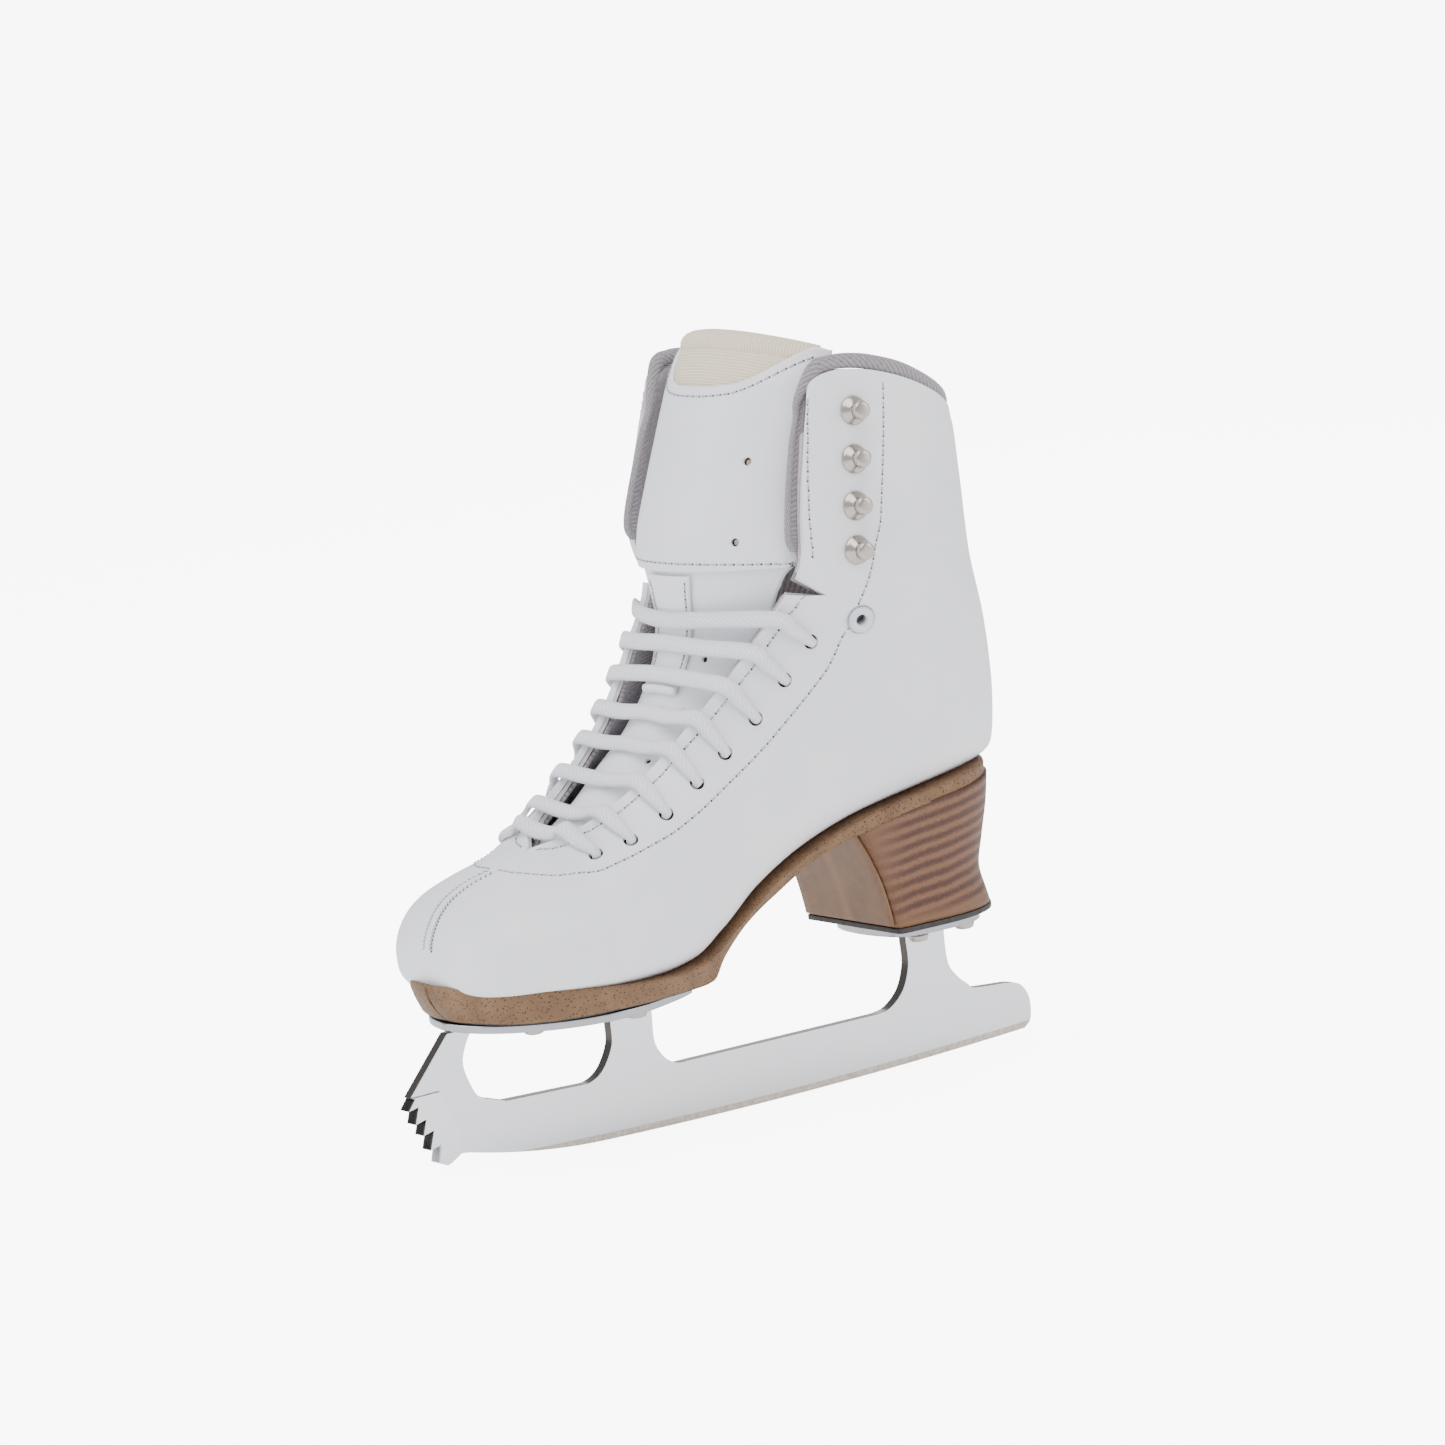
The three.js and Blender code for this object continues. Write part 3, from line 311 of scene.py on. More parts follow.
def monotone(values):
    """A smooth curve through values at 0, 1, 2, ... that does not overshoot."""
    step = [b - a for a, b in zip(values, values[1:])]
    slope = [step[0]]
    for a, b in zip(step, step[1:]):
        slope.append(2 * a * b / (a + b) if a * b > 0 else 0)
    slope.append(step[-1])

    def curve(u):
        i = min(len(values) - 2, max(0, math.floor(u)))
        f = u - i
        rise = lerp(values[i], values[i + 1], f * f * (3 - 2 * f))
        return rise + slope[i] * f * (1 - f) ** 2 - slope[i + 1] * f * f * (1 - f)

    return curve


RING = {key: monotone([row[k] for row in RINGS]) for k, key in enumerate(RING_KEYS)}


# %% The leather's surface
def leather(u, t):
    """The outside of the leather: u along the boot, t from the facing's edge round
    to the middle line. The rim of the cuff dips by a few millimetres."""
    w, m, nf, nb = (RING[key](u) for key in ("w", "m", "nf", "nb"))
    front = Vector((0, RING["yf"](u), RING["zf"](u)))
    rear = Vector((0, RING["yb"](u), RING["zb"](u)))
    length = (rear - front).length
    if t < WIDEST:
        n = 2 / nf
        start = math.asin(min(1, RING["g"](u) / w) ** (1 / n)) if w > 1e-6 else 0
        a = lerp(start, math.pi / 2, t / WIDEST)
        x = w * math.sin(a) ** n
        q = m * length * (1 - (max(0, math.cos(a)) / math.cos(start)) ** n)
    else:
        n = 2 / nb
        a = (t - WIDEST) / (1 - WIDEST) * math.pi / 2
        x = w * max(0, math.cos(a)) ** n
        q = m * length + (1 - m) * length * math.sin(a) ** n
    f = q / length if length > 1e-6 else 0
    p = front.lerp(rear, f)
    lift = RING["rise"](u) * SWAY * math.sqrt(max(0, f)) * (1 - f)
    dip = RIM_DIP * smooth((u - DIP_FROM) / DIP_OVER)
    return Vector((x, p.y, p.z + lift - dip))


def leather_normal(u, t):
    if u < 1e-4:
        return Vector((0, -1, 0))
    e = 1e-3
    s = max(t, 0.06) if RING["g"](u) > 0.5 else t
    along = leather(min(COLLAR, u + e), s) - leather(max(0, u - e), s)
    around = leather(u, min(1, s + e)) - leather(u, max(0, s - e))
    n = around.cross(along)
    if t > 1 - 1e-6 or (t < 1e-6 and RING["g"](u) < 0.5):
        n.x = 0
    return n.normalized()


def layer(u, t, depth):
    """A point at some depth under the leather's outside."""
    p = leather(u, t) - leather_normal(u, t) * depth
    p.x = max(p.x, 0)
    return p


def column_at(u, distance):
    """The column that lies a distance behind the facing's edge."""
    t = walked = 0
    last = leather(u, 0)
    while walked < distance and t < 0.95:
        t += 0.004
        point = leather(u, t)
        walked += (point - last).length
        last = point
    return t


def place_on(u, distance):
    t = column_at(u, distance)
    return leather(u, t), leather_normal(u, t)


def mirrored(p, side=-1):
    return Vector((side * p[0], p[1], p[2]))


print("last: toe", at_boot(leather(0, 0)), "collar", at_boot(leather(COLLAR, 0)))

# %% [markdown]
# ## Surfaces from a grid
# Leather parts start as Blender's flat grid. Each vertex of the grid knows how
# far along and across it lies, so a function can send it to its place on the
# last. The flat grid's own coordinates, in millimetres of real leather, are
# kept as a UV map, so that a weave keeps its size on the curved piece.


# %% A grid laid on a surface
def steps(start, end, count):
    return [lerp(start, end, i / count) for i in range(count + 1)]


def laid_grid(name, rows, columns, place, body="boot"):
    """A sheet with its vertices at place(row, column), facing out."""
    bm = bmesh.new()
    bmesh.ops.create_grid(bm, x_segments=len(columns) - 1, y_segments=len(rows) - 1, size=0.5)
    uv = bm.loops.layers.uv.new("UVMap")
    where = {}
    table = {}
    for v in bm.verts:
        i = round((v.co.y + 0.5) * (len(rows) - 1))
        j = round((v.co.x + 0.5) * (len(columns) - 1))
        where[v] = (i, j)
        table[i, j] = at_boot(place(rows[i], columns[j]))
        v.co = table[i, j]
    middle_row, middle_column = len(rows) // 2, len(columns) // 2
    across = [0]
    for j in range(1, len(columns)):
        across.append(across[-1] + (table[middle_row, j] - table[middle_row, j - 1]).length)
    along = [0]
    for i in range(1, len(rows)):
        along.append(along[-1] + (table[i, middle_column] - table[i - 1, middle_column]).length)
    for face in bm.faces:
        face.smooth = True
        for loop in face.loops:
            i, j = where[loop.vert]
            loop[uv].uv = (across[j], along[i])
    bmesh.ops.remove_doubles(bm, verts=bm.verts, dist=1e-6)
    return finished(name, bm, body)


# %% Finished pieces
def finished(name, bm, body="boot", material=None, slot=None, replaces=()):
    mesh = bpy.data.meshes.new(name)
    bm.to_mesh(mesh)
    bm.free()
    piece = bpy.data.objects.new(name, mesh)
    bpy.context.scene.collection.objects.link(piece)
    if material:
        finish_with(piece, material, slot, *replaces)
    if body:
        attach(piece, body)
    return piece


def finish_with(piece, material, slot, *nodes):
    piece.data.materials.append(material)
    if nodes:
        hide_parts(*nodes)
    return piece


# %% Walls, mirrored pieces and modifiers
def skin(bm, rings, closed=True):
    """Joins rings of vertices into one wall. A closed wall gets a face at each end."""
    for a, b in zip(rings, rings[1:]):
        for k in range(len(a) if closed else len(a) - 1):
            n = (k + 1) % len(a)
            bm.faces.new((a[k], a[n], b[n], b[k])).smooth = True
    if closed:
        bm.faces.new(rings[0])
        bm.faces.new(rings[-1])
    bmesh.ops.recalc_face_normals(bm, faces=bm.faces)
    return bm


def mirror_piece(piece, name):
    """The same piece for the other side, its faces turned to point out again."""
    bm = bmesh.new()
    bm.from_mesh(piece.data)
    bmesh.ops.transform(bm, matrix=Matrix.Scale(-1, 4, (1, 0, 0)), verts=bm.verts)
    bmesh.ops.reverse_faces(bm, faces=bm.faces)
    return finished(name, bm)


def bevelled(piece, width, segments, degrees):
    edge = piece.modifiers.new("rounded_edge", "BEVEL")
    edge.width, edge.segments = width, segments
    edge.limit_method, edge.angle_limit = "ANGLE", math.radians(degrees)


def thicken(piece, thickness, rounding=0):
    """A sheet's own thickness, added on its inner side. Rounding softens its edges."""
    wall = piece.modifiers.new("thickness", "SOLIDIFY")
    wall.thickness, wall.offset = thickness, -1
    if rounding:
        bevelled(piece, rounding, 2, 50)


def apply_modifiers(piece):
    """Bakes the modifiers into the mesh, so that the next step works on the result."""
    graph = bpy.context.evaluated_depsgraph_get()
    mesh = bpy.data.meshes.new_from_object(piece.evaluated_get(graph))
    piece.modifiers.clear()
    piece.data = mesh
    return piece


def row_at(curve, value, last):
    """The row, up to the last, at which a rising curve reaches a value."""
    low, high = 0, last
    for _ in range(24):
        middle = (low + high) / 2
        low, high = (middle, high) if curve(middle) < value else (low, middle)
    return low


# %% [markdown]
# ## Lacing places
# Eight rows of holes climb the facing, then one enamelled eyelet and four
# hooks. Everything that goes through the leather takes its place from here.

# %% Rows of holes, eyelet and hooks
LACE_ROWS = [(7.1, 16.5), (8.25, 16), (9.4, 15), (10.5, 14.5), (11.4, 14.5), (12.35, 14.8),
             (13.3, 15), (14.4, 14.8)]
SIDES = ((1, "left"), (-1, "right"))
LACE_HOLE, EYELET_HOLE = 2.4, 2.6
EYELET = place_on(16.5, 26)
HOOKS = [place_on(u, 19.5) for u in (18.95, 20.25, 21.25, 22.1)]
HOLES = [place_on(*row) for row in LACE_ROWS]
print("top hole", at_boot(HOLES[-1][0]), "first hook", at_boot(HOOKS[0][0]))


# %% [markdown]
# ## The leather quarters
# Each side of the boot is one sheet of leather that meets the other at the toe,
# along the sole and up the back. It is 2.2 mm thick. The holes and the flex notch
# are cut with a Boolean, as a punch and a knife do.

# %% Punches and the notch knife
def turned_bm(profile, point, normal, sides=32):
    """A body turned on the lathe from its profile of radius and height, standing at a place."""
    bm = bmesh.new()
    verts = [bm.verts.new((mm(r), 0, mm(h))) for r, h in profile]
    edges = [bm.edges.new(pair) for pair in zip(verts, verts[1:])]
    bmesh.ops.spin(bm, geom=verts + edges, cent=(0, 0, 0), axis=(0, 0, 1), angle=2 * math.pi,
                   steps=sides, use_merge=True)
    bmesh.ops.remove_doubles(bm, verts=bm.verts, dist=1e-6)
    bmesh.ops.recalc_face_normals(bm, faces=bm.faces)
    turn = Vector((0, 0, 1)).rotation_difference(normal).to_matrix().to_4x4()
    bmesh.ops.transform(bm, matrix=Matrix.Translation(at_boot(point)) @ turn, verts=bm.verts)
    for face in bm.faces:
        face.smooth = True
    return bm


def join_bm(parts):
    whole = bmesh.new()
    for part in parts:
        mesh = bpy.data.meshes.new("part")
        part.to_mesh(mesh)
        part.free()
        whole.from_mesh(mesh)
        bpy.data.meshes.remove(mesh)
    return whole


def notch_knife():
    """The wedge of the flex notch: the cuff's lower corner above, the facing's below."""
    outline = [(25, 116.9), (21, 119.8), (17, 122.6), (13, 126.5), (9, 130.5), (5, 137),
               (-12, 139), (-12, 121.5), (5, 121), (11, 119.4), (15, 118.2), (20, 117.4)]
    bm = bmesh.new()
    verts = [bm.verts.new(at_boot((-70, y, z))) for y, z in outline]
    face = bm.faces.new(verts)
    side = bmesh.ops.extrude_face_region(bm, geom=[face])["geom"]
    moved = [v for v in side if isinstance(v, bmesh.types.BMVert)]
    bmesh.ops.translate(bm, verts=moved, vec=(mm(140), 0, 0))
    bmesh.ops.recalc_face_normals(bm, faces=bm.faces)
    return bm


def punch(radius, low=-8, high=4):
    """The profile of a round punch that passes through the leather."""
    return [(0, low), (radius, low), (radius, high), (0, high)]


def punches():
    cuts = [turned_bm(punch(LACE_HOLE), *hole, sides=20) for hole in HOLES]
    return cuts + [turned_bm(punch(EYELET_HOLE), *EYELET, sides=20)]


# %% Cutting a sheet
def cut(piece, tool_bm, own_folds=False):
    tool = finished(piece.name + "_tool", tool_bm, body=None)
    boolean = piece.modifiers.new("cut", "BOOLEAN")
    boolean.operation = "DIFFERENCE"
    boolean.solver = "EXACT"
    boolean.use_self = own_folds
    boolean.object = tool
    apply_modifiers(piece)
    bpy.data.objects.remove(tool)
    return piece


def walled(piece, thickness, *tools, own_folds=False):
    """Gives a sheet its thickness in millimetres, then cuts it with each tool."""
    thicken(piece, mm(thickness))
    apply_modifiers(piece)
    for tool in tools:
        cut(piece, tool, own_folds)
    return piece


# %% The two quarters
LEATHER_THICK = 2.2
ring_rows = steps(0, 2, 16)[:-1] + steps(2, 7, 30)[:-1] + steps(7, COLLAR, 110)
ring_columns = steps(0, WIDEST, 34)[:-1] + steps(WIDEST, 1, 36)


quarter_left = laid_grid("quarter_leather_left", ring_rows, ring_columns, leather)
walled(quarter_left, LEATHER_THICK, notch_knife(), join_bm(punches()))
quarter_right = mirror_piece(quarter_left, "quarter_leather_right")
for quarter, node in ((quarter_left, "quarter_left"), (quarter_right, "quarter_right")):
    finish_with(quarter, LEATHER, "white_leather", node)
    quarter.data.set_sharp_from_angle(angle=math.radians(40))
print("quarters:", len(quarter_left.data.polygons), "faces each")


# %% [markdown]
# ## Stitching
# A lockstitch row is a line of short threads, each ending in a needle hole. The
# row is walked along the leather by its real length, so the stitches keep one
# pitch round every curve. The thread is a thin rounded stitch, and the needle
# hole a tiny dark dimple at its end.

# %% Stitch rows
STITCH_PITCH = 3.0
STITCH_LENGTH = 2.0
THREAD_RISE = 0.12


def spline(points, per_span):
    """A smooth curve through given points of any dimension."""
    line = []
    for i in range(len(points) - 1):
        p = [points[max(0, min(len(points) - 1, k))] for k in (i - 1, i, i + 1, i + 2)]
        for k in range(per_span):
            f = k / per_span
            line.append([0.5 * (2 * b + (c - a) * f + (2 * a - 5 * b + 4 * c - d) * f * f
                                + (3 * b - a - 3 * c + d) * f ** 3)
                         for a, b, c, d in zip(*p)])
    line.append(list(points[-1]))
    return line


def walk(places, surface, pitch):
    """Places (point, normal, direction) at one pitch along a path on a surface."""
    line = [surface(*place) for place in places]
    found = []
    walked, due = 0, pitch / 2
    for (p, n), (q, _) in zip(line, line[1:]):
        length = (q - p).length
        while length > 0 and walked + length >= due:
            f = (due - walked) / length
            found.append((p.lerp(q, f), n, (q - p).normalized()))
            due += pitch
        walked += length
    return found


# %% Threads and needle holes
def stitched(name, rows, side=1, length=STITCH_LENGTH, thick=0.66, body="boot"):
    """Threads and needle holes along rows of places on the leather."""
    threads = bmesh.new()
    holes = bmesh.new()
    for point, normal, along in rows:
        p, n, a = (mirrored(v, side) for v in (point, normal, along))
        across = n.cross(a).normalized()
        turn = Matrix((a, across, n)).transposed().to_4x4()
        at = Matrix.Translation(at_boot(p + n * THREAD_RISE)) @ turn
        shape = Matrix.Diagonal((mm(length / 2), mm(thick / 2), mm(THREAD_RISE + 0.14), 1))
        bmesh.ops.create_uvsphere(threads, u_segments=6, v_segments=5, radius=1,
                                  matrix=at @ shape)
        end = Matrix.Translation(at_boot(p + n * 0.03 + a * (length / 2 + 0.25))) @ turn
        bmesh.ops.create_circle(holes, cap_ends=True, segments=7, radius=mm(0.42), matrix=end)
    for bm in (threads, holes):
        for face in bm.faces:
            face.smooth = True
    finished(name + "_threads", threads, body, THREAD, "lace_cotton")
    finished(name + "_needle_holes", holes, body, NEEDLE_HOLE, "white_leather")


# Bonded nylon is a smooth twisted thread with a faint lilac shade between its strands.
THREAD = mottled("bonded_nylon_thread", "#B2B0C2", 0.55, [(0.3, "#9D9BB0"), (0.7, "#C3C2D0")],
                 0.0012)
# A needle hole is only a shaded dimple in the leather's coat.
NEEDLE_HOLE = mottled("needle_hole_shadow", "#6E6A7A", 0.9, [(0.3, "#4A4656"), (0.7, "#6E6A7C")],
                      0.003)


def on_boot(u, t):
    return leather(u, t), leather_normal(u, t)


# %% Rows on the upper
second_row = [(22.85, 0.43), (21.6, 0.425), (20.25, 0.4), (19.25, 0.37), (18, 0.312),
              (17.1, 0.277), (16, 0.25), (15, 0.24), (13.75, 0.262), (12.75, 0.285), (12, 0.295),
              (10.9, 0.272), (9.9, 0.238), (8.5, 0.2), (7.4, 0.19), (6.4, 0.19), (5.6, 0.15),
              (5.1, 0.07), (5, 0.01)]
first_row = [(22.8, 2.6), (21, 2.6), (19.2, 2.6), (18.3, 3.4)]
facing_row = [(16.3, 5), (15, 4), (13, 4), (10, 4), (8, 4), (7.2, 4.4), (6.6, 7), (6.2, 4)]
sewn = walk(spline(second_row, 8), on_boot, STITCH_PITCH)
sewn += walk(spline(first_row, 8), place_on, STITCH_PITCH)
sewn += walk(spline(facing_row, 6), place_on, STITCH_PITCH)
for side, word in SIDES:
    stitched("upper_stitching_" + word, sewn, side)
print("stitch rows sewn")

# %% [markdown]
# The two quarters meet over the toe in a seam that is turned under, hammered
# flat and crossed by a zigzag stitch. A low ridge stands for the fold, and the
# zigzag lies over it.

# %% Toe seam
SEAM_SECTION = ((-1.9, -0.6), (-1.1, 0.55), (-0.35, 1), (0, 0.45), (0.35, 1), (1.1, 0.55),
                (1.9, -0.6))
SEAM_HEIGHT = 0.42


def toe_place(u):
    """A place on the middle line of the toe, and the way out from it."""
    p, n = on_boot(u, 0)
    return p, Vector((0, n.y, n.z)).normalized()


def toe_seam():
    bm = bmesh.new()
    us = steps(0.6, 4.85, 70)
    rings = []
    for i, u in enumerate(us):
        p, n = toe_place(u)
        fade = SEAM_HEIGHT * smooth(min(i, len(us) - 1 - i) / 8)
        rings.append([bm.verts.new(at_boot(p + Vector((x, 0, 0)) + n * (0.06 + fade * h)))
                      for x, h in SEAM_SECTION])
    return finished("toe_seam_ridge", skin(bm, rings, closed=False), "boot", LEATHER,
                    "white_leather")


toe_seam()
zigzag = []
for u in steps(0.8, 4.8, 24):
    p, n = toe_place(u)
    forward = Vector((0, -n.z, n.y))
    for side in (1, -1):
        slant = (Vector((1, 0, 0)) + forward * 0.8 * side).normalized()
        zigzag.append((p + Vector((side * 1.9, 0, 0)) + n * 0.1, n, slant))
stitched("toe_zigzag", zigzag, length=1.5, thick=0.4)

# %% [markdown]
# ## Lining
# The twill lining follows the leather a few millimetres inside it, and is pushed
# in over the ankle bone by a foam pad. Along the cuff it stands 3 mm out in
# front of the leather's edge.

# %% Lining
LINING_DEPTH, REVEAL = 4.0, 3.2
ANKLE_PAD, ANKLE_ROW, ANKLE_COLUMN = 5.0, 17, 0.56


def ankle_bulge(u, t):
    near = smooth(1 - abs(u - ANKLE_ROW) / 3.6) * smooth(1 - abs(t - ANKLE_COLUMN) / 0.3)
    return ANKLE_PAD * near


def lining_place(u, t):
    reveal = REVEAL * smooth((u - 18) / 0.9)
    if t < 0:
        inside = layer(u, 0, LINING_DEPTH)
        forward = (inside - layer(u, 0.08, LINING_DEPTH)).normalized()
        return inside + forward * reveal * -t
    near_facing = smooth((u - 18) / 2) * smooth((0.42 - t) / 0.1)
    wrinkle = 0.35 * noise.noise(Vector((u * 0.35, t * 26, 0))) * near_facing
    return layer(u, t, LINING_DEPTH + ankle_bulge(u, t) + wrinkle)


lining_left = laid_grid("lining_cloth_left", steps(4, 7, 12)[:-1] + steps(7, COLLAR, 90),
                        [-1, -0.5] + steps(0, 0.4, 34)[:-1] + steps(0.4, 1, 30), lining_place)
walled(lining_left, 1.2, notch_knife(), join_bm(punches()))
lining_right = mirror_piece(lining_left, "lining_cloth_right")
finish_with(lining_left, TWILL, "grey_twill_lining", "lining_left")
finish_with(lining_right, TWILL, "grey_twill_lining", "lining_right")
print("lining:", len(lining_left.data.polygons), "faces each")


# %% [markdown]
# ## Swept pieces
# The collar roll, the lace and its tips are long pieces of one section. The
# section is carried along a smooth route, with its wide side kept along a given
# direction, and the route's length is kept in the UV map for the weave.

# %% A section carried along a route
ROUTE_GIRTH = 0.012


def swept(name, stations, sides=14, per_span=6, flatness=2.6, body="boot", ends="round"):
    """Stations are (point, half width, half thickness, wide direction)."""
    rows = [[*p, a, b, *d] for p, a, b, d in stations]
    line = spline(rows, per_span)
    if ends == "round":
        first, last = list(line[0]), list(line[-1])
        first[3:5] = [first[3] * 0.4, first[4] * 0.4]
        last[3:5] = [last[3] * 0.4, last[4] * 0.4]
        tip = (Vector(line[1][:3]) - Vector(line[0][:3])).normalized() * 0.5
        end = (Vector(line[-1][:3]) - Vector(line[-2][:3])).normalized() * 0.5
        first[:3] = Vector(first[:3]) - tip
        last[:3] = Vector(last[:3]) + end
        line = [first, *line, last]
    bm = bmesh.new()
    uv = bm.loops.layers.uv.new("UVMap")
    across = Vector(line[0][5:])
    if across.length < 1e-6:
        across = Vector((0.3, 0, 1))
    rings = []
    along_length = []
    walked = 0
    for i, row in enumerate(line):
        p = Vector(row[:3])
        before = Vector(line[max(0, i - 1)][:3])
        after = Vector(line[min(len(line) - 1, i + 1)][:3])
        along = (after - before).normalized()
        wide = Vector(row[5:])
        if wide.length > 1e-6:
            across = wide if wide.dot(across) >= 0 else -wide
        across = (across - along * across.dot(along)).normalized()
        high = along.cross(across)
        loop = []
        for k in range(sides):
            angle = 2 * math.pi * (k + 0.5) / sides
            c, s = math.cos(angle), math.sin(angle)
            x = math.copysign(abs(c) ** (2 / flatness), c) * row[3]
            y = math.copysign(abs(s) ** (2 / flatness), s) * row[4]
            loop.append(bm.verts.new(at_boot(p + across * x + high * y)))
        rings.append(loop)
        walked += (p - before).length
        along_length.append(walked)
    for i in range(len(rings) - 1):
        a, b = rings[i], rings[i + 1]
        for k in range(sides):
            n = (k + 1) % sides
            face = bm.faces.new((a[k], a[n], b[n], b[k]))
            face.smooth = True
            spots = ((k, i), (k + 1, i), (k + 1, i + 1), (k, i + 1))
            for loop, (kk, ii) in zip(face.loops, spots):
                loop[uv].uv = (ROUTE_GIRTH * kk / sides, mm(along_length[ii]))
    bm.faces.new(list(reversed(rings[0]))).smooth = True
    bm.faces.new(rings[-1]).smooth = True
    bmesh.ops.recalc_face_normals(bm, faces=bm.faces)
    piece = finished(name, bm, body)
    piece["length_mm"] = walked
    return piece


# %% [markdown]
# The collar roll is the same twill over a cord. It starts in the notch, follows
# the front edge of the cuff, turns at the corner and runs round the rim.

# %% Collar roll
ROLL_OVER_RIM = 2.6


def rim_point(t):
    rim = layer(COLLAR, t, LEATHER_THICK)
    below = layer(COLLAR - 0.5, t, LEATHER_THICK)
    return rim + (rim - below).normalized() * ROLL_OVER_RIM


roll_half = []
for u in (18.5, 19.2, 20, 21, 22, 22.7):
    edge = lining_place(u, -1)
    roll_half.append((edge + leather_normal(u, 0) * -0.2, 1.0, 1.3))
corner = [(lining_place(22.95, -0.8) + Vector((0, 0, 1.6)), 1.4, 1.6)]
rim = [(rim_point(t), 2.5, 2.1) for t in (0.06, 0.15, 0.25, 0.38, 0.5, 0.64, 0.76, 0.88, 1)]
half = [(p, a, b, (0, 0, 0)) for p, a, b in roll_half + corner + rim]
whole = half + [(mirrored(p), a, b, wide) for p, a, b, wide in half[-2::-1]]
collar_roll = swept("collar_roll", whole, sides=12, per_span=7, flatness=2)
finish_with(collar_roll, TWILL, "grey_twill_lining", "collar_binding")
print("collar roll", round(collar_roll["length_mm"]), "mm")


# %% [markdown]
# ## Tongue
# The tongue wraps round the shin like half a tube. Its middle line climbs out
# from under the vamp. Below the fold it is leather over foam; above the fold a
# separate leather panel lies in front of a padded top with a cream knitted roll.

# %% The shin line
SHIN_KEYS = ("y", "z", "half", "round")
SHIN = [
    (-66, 42, 13, 30), (-60, 46, 18, 32), (-52, 52.5, 21, 32), (-41, 60, 23, 33),
    (-30.5, 69, 25, 34),
    (-19.5, 78.5, 26, 34), (-10.5, 89.5, 28, 35), (-4.5, 101, 30, 37), (-2.5, 111.5, 32, 39.5),
    (-3, 119.5, 35, 42), (-3.5, 127, 39, 45), (-2, 138, 40, 45), (3, 153, 40, 45),
    (9.5, 170, 39.2, 45), (16.5, 187, 38.8, 45), (21, 197.5, 38.4, 45),
]
shin = {key: monotone([row[k] for row in SHIN]) for k, key in enumerate(SHIN_KEYS)}
FOLD, PANEL_TOP, PAD_TOP = 10, 14, 14.75


def shin_point(v):
    return Vector((0, shin["y"](v), shin["z"](v)))


def shin_normal(v):
    along = shin_point(min(15, v + 0.01)) - shin_point(max(0, v - 0.01))
    return Vector((0, -along.z, along.y)).normalized()


def tongue(v, s, depth):
    """A point of the tongue: v along it, s from -1 to 1 across it, depth inwards."""
    radius = shin["round"](v)
    angle = s * math.asin(min(0.98, shin["half"](v) / radius))
    p = shin_point(v) + shin_normal(v) * ((radius - depth) * math.cos(angle) - radius)
    p.x = (radius - depth) * math.sin(angle)
    return p


def tongue_normal(v, s):
    angle = s * math.asin(min(0.98, shin["half"](v) / shin["round"](v)))
    return (shin_normal(v) * math.cos(angle) + Vector((math.sin(angle), 0, 0))).normalized()


# %% [markdown]
# The panel is one cut of leather with a scooped upper edge, so its sides stand up
# like ears. It swells a little over its foam, is stitched down along both ends,
# and has four vent holes punched through it.

# %% Tongue panel
PANEL_DEPTH, PANEL_SWELL, PANEL_WAVE = -1.85, 0.5, 0.35
EAR_RISE, EAR_HEIGHT, EAR_TIP = Vector((0, 0.39, 0.92)), 8, 4


def panel_top(s):
    """The scooped edge: low in the middle, with an ear on each side."""
    return PANEL_TOP - 0.25 + 1.15 * abs(s) ** 2.2


def panel_place(f, s):
    """f runs from 0 at the fold to 1 at the scooped edge."""
    v = lerp(FOLD, panel_top(s), f)
    swell = PANEL_SWELL * smooth(f / 0.14) * smooth((1 - f) / 0.1) * smooth((1 - abs(s)) / 0.12)
    slow = PANEL_WAVE * noise.noise(Vector((s * 1.6, f * 2.2, 4.0)))
    ear = EAR_HEIGHT * smooth((abs(s) - 0.35) / 0.6) - EAR_TIP * smooth((abs(s) - 0.84) / 0.2)
    depth = PANEL_DEPTH - swell - slow * smooth((1 - abs(s)) / 0.2)
    return tongue(v, s, depth) + EAR_RISE * ear * f ** 4


def on_tongue(s, v, depth=0.0):
    return tongue(v, s, depth), tongue_normal(v, s)


panel_rows = steps(0, 0.12, 8)[:-1] + steps(0.12, 0.9, 44)[:-1] + steps(0.9, 1, 8)
panel = laid_grid("tongue_panel_leather", panel_rows, steps(-1, 1, 72), panel_place, "tongue_top")
VENTS = [on_tongue(s, v, PANEL_DEPTH) for s in (0.58, -0.58) for v in (10.95, 12.6)]
walled(panel, 1.5, join_bm([turned_bm(punch(1.35, -3, 2), *vent, 18) for vent in VENTS]),
       own_folds=True)
finish_with(panel, LEATHER, "white_leather", "tongue_panel")


def panel_row(f):
    return [(f, s) for s in steps(-0.95, 0.95, 40)]


def on_panel(f, s):
    return panel_place(f, s), tongue_normal(lerp(FOLD, panel_top(s), f), s)


for name, f in (("panel_lower_stitching", 0.075), ("panel_upper_stitching", 0.95)):
    stitched(name, walk(panel_row(f), on_panel, STITCH_PITCH), body="tongue_top")
print("tongue panel:", len(panel.data.polygons), "faces")


# %% [markdown]
# The vent holes, the punched lower tongue and the lace holes all look dark inside,
# because they open onto shaded foam. A small cup of shaded foam lies in each.

# %% Dark cups
# Foam deep in a hole: open cells, nearly black in the shade.
DARK = mottled("shaded_foam", "#2F2B2A", 0.95, [(0, "#1E1B1B"), (0.6, "#463F3B")], 0.0006,
               (0.0003, 0.6), "TexVoronoi")


def cups(name, places, radius, depth, body="boot"):
    profile = [(0, -depth), (radius * 0.7, -depth), (radius, -depth + 0.5), (radius, -0.35)]
    parts = [turned_bm(profile, *place, 14) for place in places]
    return finished(name, join_bm(parts), body, DARK, "padding_foam")


cups("vent_cups", VENTS, 1.38, 1.5, "tongue_top")


